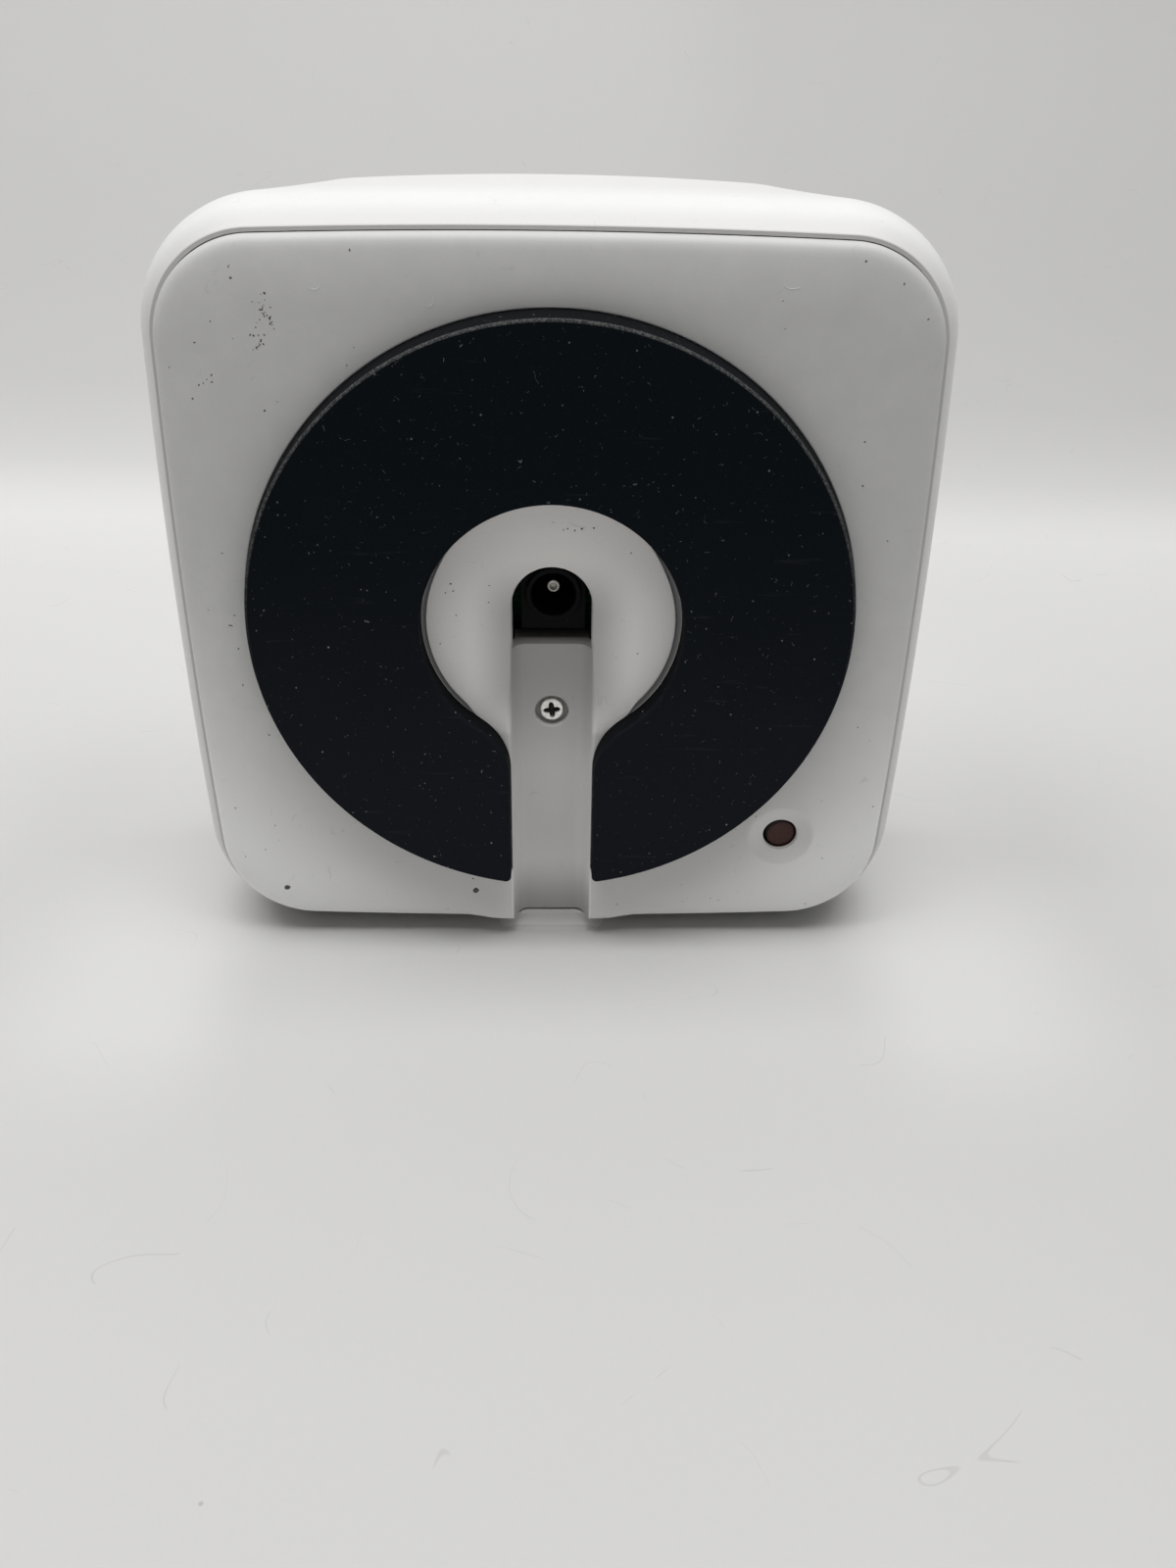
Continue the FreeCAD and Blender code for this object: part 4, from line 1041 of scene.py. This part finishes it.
def boardGreen():
    # solder mask over copper: raised straight runs and round pads under the green
    paint = Paint("board_green_mask")
    runs = paint.node("ShaderNodeTexBrick", {"offset": 0.5}, {
        "Vector": paint.node("ShaderNodeCombineXYZ", {}, {0: paint.x, 1: paint.z}), "Scale": 1,
        "Mortar Size": 0.12, "Mortar Smooth": 0.2, "Brick Width": 5.5, "Row Height": 1.1}, "Fac")
    broken = runs * paint.noise(0.12, 2).over(0.42, 0.48)
    dots = paint.node("ShaderNodeTexVoronoi", {}, {"Vector": paint.place, "Scale": 0.35})
    pads = (dots / 0.35).over(0.45, 0.36)
    colour = paint.coats((0.012, 0.12, 0.055), (paint.noise(0.3, 3).over(0.35, 0.65), (0.02, 0.17, 0.08)),
                         (broken * 0.6, (0.05, 0.27, 0.12)), (pads, (0.62, 0.5, 0.26)))
    return paint.done(colour, 0.42 - broken * 0.08, broken.most(pads), 0.03, 0.6, {"Metallic": pads})


def clearPlastic():
    # the light pipe: clear, with faint flow lines
    paint = Paint("pipe_clear_moulded")
    flow = paint.noise(0.8, 3, 0.5, 0.3, paint.moved(paint.place, (1, 0.2, 1)))
    colour = paint.mix(flow.over(0.4, 0.6), (0.93, 0.95, 0.95), (0.88, 0.91, 0.91))
    rough = 0.12 + (flow - 0.5) * 0.1
    return paint.done(colour, rough, flow, 0.02, 0.2, {"IOR": 1.49, "Transmission Weight": 0.85})


finishes = {
    "shell_white": shellPlastic(),
    "cover_white": coverPlastic(),
    "pad_rubber": padRubber(),
    "screw_steel": screwSteel(),
    "board_green": boardGreen(),
    "button_brown": buttonPlastic(),
    "pipe_clear": clearPlastic(),
}
# plain stuff: its two tones, its gloss, and the further values where they differ from the usual
plainFinishes = [
    (dull, "adhesive_film", (0.72, 0.72, 0.66), (0.78, 0.77, 0.72), 0.6, 1.5),
    (dull, "jack_black", (0.0016, 0.0018, 0.0024), (0.003, 0.0032, 0.004), 0.5, 3, 0.08, 0.2),
    (dull, "chip_black", (0.02, 0.02, 0.022), (0.035, 0.035, 0.036), 0.55, 5),
    (dull, "switch_grey", (0.16, 0.16, 0.17), (0.22, 0.22, 0.225), 0.5),
    (dull, "thermal_grey", (0.34, 0.36, 0.4), (0.42, 0.44, 0.47), 0.8, 1.8),
    (dull, "ferrite_grey", (0.1, 0.1, 0.11), (0.14, 0.14, 0.15), 0.75, 4),
    (dull, "led_lens", (0.85, 0.84, 0.66), (0.92, 0.9, 0.74), 0.25, 2, 0.5),
    (dull, "ceramic_tan", (0.42, 0.34, 0.24), (0.56, 0.47, 0.34), 0.6, 3),
    (metal, "insert_brass", (0.78, 0.58, 0.28), (0.6, 0.43, 0.2), 0.32, (1, 0.1, 1), 4),
    (metal, "contact_nickel", (0.82, 0.81, 0.77), (0.66, 0.64, 0.6), 0.22),
    (metal, "shield_tin", (0.76, 0.76, 0.74), (0.62, 0.62, 0.6), 0.34, (0.08, 1, 1), 3),
    (metal, "can_aluminium", (0.84, 0.84, 0.85), (0.72, 0.72, 0.73), 0.25, (1, 0.08, 1), 3),
]
for kind, slot, *values in plainFinishes:
    finishes[slot] = kind(slot + "_finish", *values)
ownFinishes = {"jack_center_pin": metal("pin_nickel_dulled", (0.42, 0.41, 0.38), (0.26, 0.25, 0.23), 0.3)}
grimeDark = dull("grime_dark", (0.085, 0.08, 0.072), (0.15, 0.14, 0.13), 0.8, 2, 0.2)
for part in frame["record"]["subparts"]:
    node = part["node"]
    finish = ownFinishes.get(node, finishes[part["material_slot"]])
    if node in pieces:
        pieces[node].data.materials.clear()
        pieces[node].data.materials.append(finish)
    else:
        for place in frame["nodes"][node].material_slots:
            place.material = finish
for piece in dirt:
    piece.data.materials.append(grimeDark)
print("finishes given:", len(finishes))


# Camera: fitted to the outlines in the photograph

view = {
    "place": (0.00027, -0.19299, 0.13121),
    "down": 30.18, "right": 1.70, "roll": 1.01,
    "focal": 1377.46, "frameHeight": 1600,  # in pixels
    "sensor": 36.0,         # along the frame's longer side
    "nearest": 0.01,
}


def buildCamera():
    # turned to the right and down, and rolled about its own line of sight
    down, turn, roll = [math.radians(view[key]) for key in ("down", "right", "roll")]
    lens = bpy.data.cameras.new("camera")
    lens.sensor_width = view["sensor"]
    lens.lens = view["focal"] / view["frameHeight"] * view["sensor"]
    lens.clip_start = view["nearest"]
    camera = added("camera", lens)
    facing = Matrix.Rotation(-turn, 4, "Z") @ Matrix.Rotation(math.pi / 2 - down, 4, "X")
    camera.matrix_world = Matrix.Translation(view["place"]) @ facing @ Matrix.Rotation(roll, 4, "Z")
    bpy.context.scene.camera = camera


# Paper sweep and lights, in metres

sweep = {
    "half": 2.5,
    "flat": [-2.5, -0.5, 0.0],
    "bend": 0.26,           # where the paper starts to rise behind the hub
    "bendRadius": 0.45, "top": 2.2, "slant": 0.06,
    # the tones are painted light and shade: pale where light pools on the floor and the bend, darker where it
    # falls off
    "tones": [              # place along the floor and up the bend, then how pale the paper is there
        (-0.10, 0.615), (-0.06, 0.60), (-0.03, 0.60), (0.00, 0.64), (0.033, 0.65), (0.075, 0.69),
        (0.132, 0.74), (0.160, 0.775), (0.178, 0.80), (0.195, 0.785), (0.213, 0.745), (0.233, 0.70),
        (0.266, 0.67), (0.32, 0.635), (0.43, 0.64), (0.525, 0.66), (0.62, 0.69), (0.70, 0.71),
    ],
    "warmth": (1.0, 0.995, 0.985),
    "rightShade": 0.09,
    # painted light: paler beside the hub, where the hub's shadow falls
    "besidePaintedLight": 0.3,      # it stays paler beside the hub
}
softbox = {"place": (-0.05, -0.14, 1.0), "wide": 1.3, "deep": 0.66, "power": 12.7}
surround = {"seen": 0.58, "light": 0.03, "side": 0.36, "tint": (1.0, 0.995, 0.985)}


def buildSweep():
    # flat floor, a quarter round and an upright sheet, as one strip two points wide
    across, along = [sweep["bendRadius"] * line for line in quarter(60)]
    y = np.concatenate([sweep["flat"], sweep["bend"] + along, [sweep["bend"] + sweep["bendRadius"]]])
    z = np.concatenate([[0.0] * len(sweep["flat"]), across, [sweep["top"]]])
    side = np.array([sweep["half"], -sweep["half"]])
    points = np.stack(np.broadcast_arrays(side, y[:, None], z[:, None]), axis=-1).reshape(-1, 3)
    row = np.arange(len(y) - 1) * 2
    quads = np.stack([row, row + 2, row + 3, row + 1], axis=-1)
    paper = meshFrom("paper_sweep", points, quads.ravel(), np.full(len(quads), 4))
    paper.data.materials.append(paperFinish())
    paper.data.polygons.foreach_set("use_smooth", np.ones(len(quads), bool))
    return paper


def paperFinish():
    # matt paper with a fine tooth, with a few hairs and crumbs; paler or darker along the floor and up the
    # bend as painted light and shade, painted shade towards the right, and painted light beside the hub
    paint = Paint("paper_matt")
    first, last = sweep["tones"][0][0], sweep["tones"][-1][0]
    along = ((paint.y + paint.z + paint.x * sweep["slant"]) * mm - first) / (last - first)
    stops = [((place - first) / (last - first), tuple(tone * tint for tint in sweep["warmth"]))
             for place, tone in sweep["tones"]]
    paper = paint.node("ShaderNodeValToRGB", {"stops": stops}, {0: along})
    tooth = paint.noise(1.2, 4, 0.6)
    aside = paint.x.size()
    beside = aside.over(42, 58) * aside.over(95, 62)
    beside = beside * paint.y.over(-70, -15) * paint.y.over(70, -5)
    colour = paint.coats(
        paper,
        (tooth.over(0.35, 0.65) * 0.02, (0.4, 0.4, 0.39)),
        # painted shade towards the right
        (paint.x.over(30, 110) * sweep["rightShade"], (0.3, 0.3, 0.295)),
        # painted light beside the hub, against its shadow
        (beside * sweep["besidePaintedLight"], (0.95, 0.945, 0.935)),
        ((paint.hairs(0.035, 0.0016, 0.58) * 0.22).most(paint.grains(17, 0.35) * 0.5), (0.3, 0.29, 0.28)))
    return paint.done(colour, 0.95, tooth, 0.02, 0.3, specular(0))


def buildSoftbox():
    # a rectangle of even light that looks straight down
    lamp = bpy.data.lights.new("softbox", "AREA")
    lamp.shape = "RECTANGLE"
    lamp.size = softbox["wide"]
    lamp.size_y = softbox["deep"]
    lamp.energy = softbox["power"]
    added("softbox", lamp).location = softbox["place"]


def buildWorld():
    # dim light from all round, stronger from the sides by the square of the direction's x; the camera, gloss
    # and clear pieces see the paper's own tone instead
    nodes = Nodes(bpy.data.worlds.new("studio"))
    ray = nodes.node("ShaderNodeLightPath")
    seen = ray.most(ray.also("Is Glossy Ray")).most(ray.also("Is Transmission Ray"))
    aside = nodes.node("ShaderNodeSeparateXYZ", {}, {0: nodes.node("ShaderNodeTexCoord")})
    light = aside * aside * (surround["side"] - surround["light"]) + surround["light"]
    strength = light + seen * (surround["seen"] - light)
    back = nodes.node("ShaderNodeBackground", {}, {"Color": surround["tint"], "Strength": strength})
    bpy.context.scene.world = nodes.ended(back, "ShaderNodeOutputWorld")


buildCamera()
buildSweep()
buildSoftbox()
buildWorld()
bpy.context.scene.view_settings.view_transform = "Standard"
print("camera, stage and lights ready")
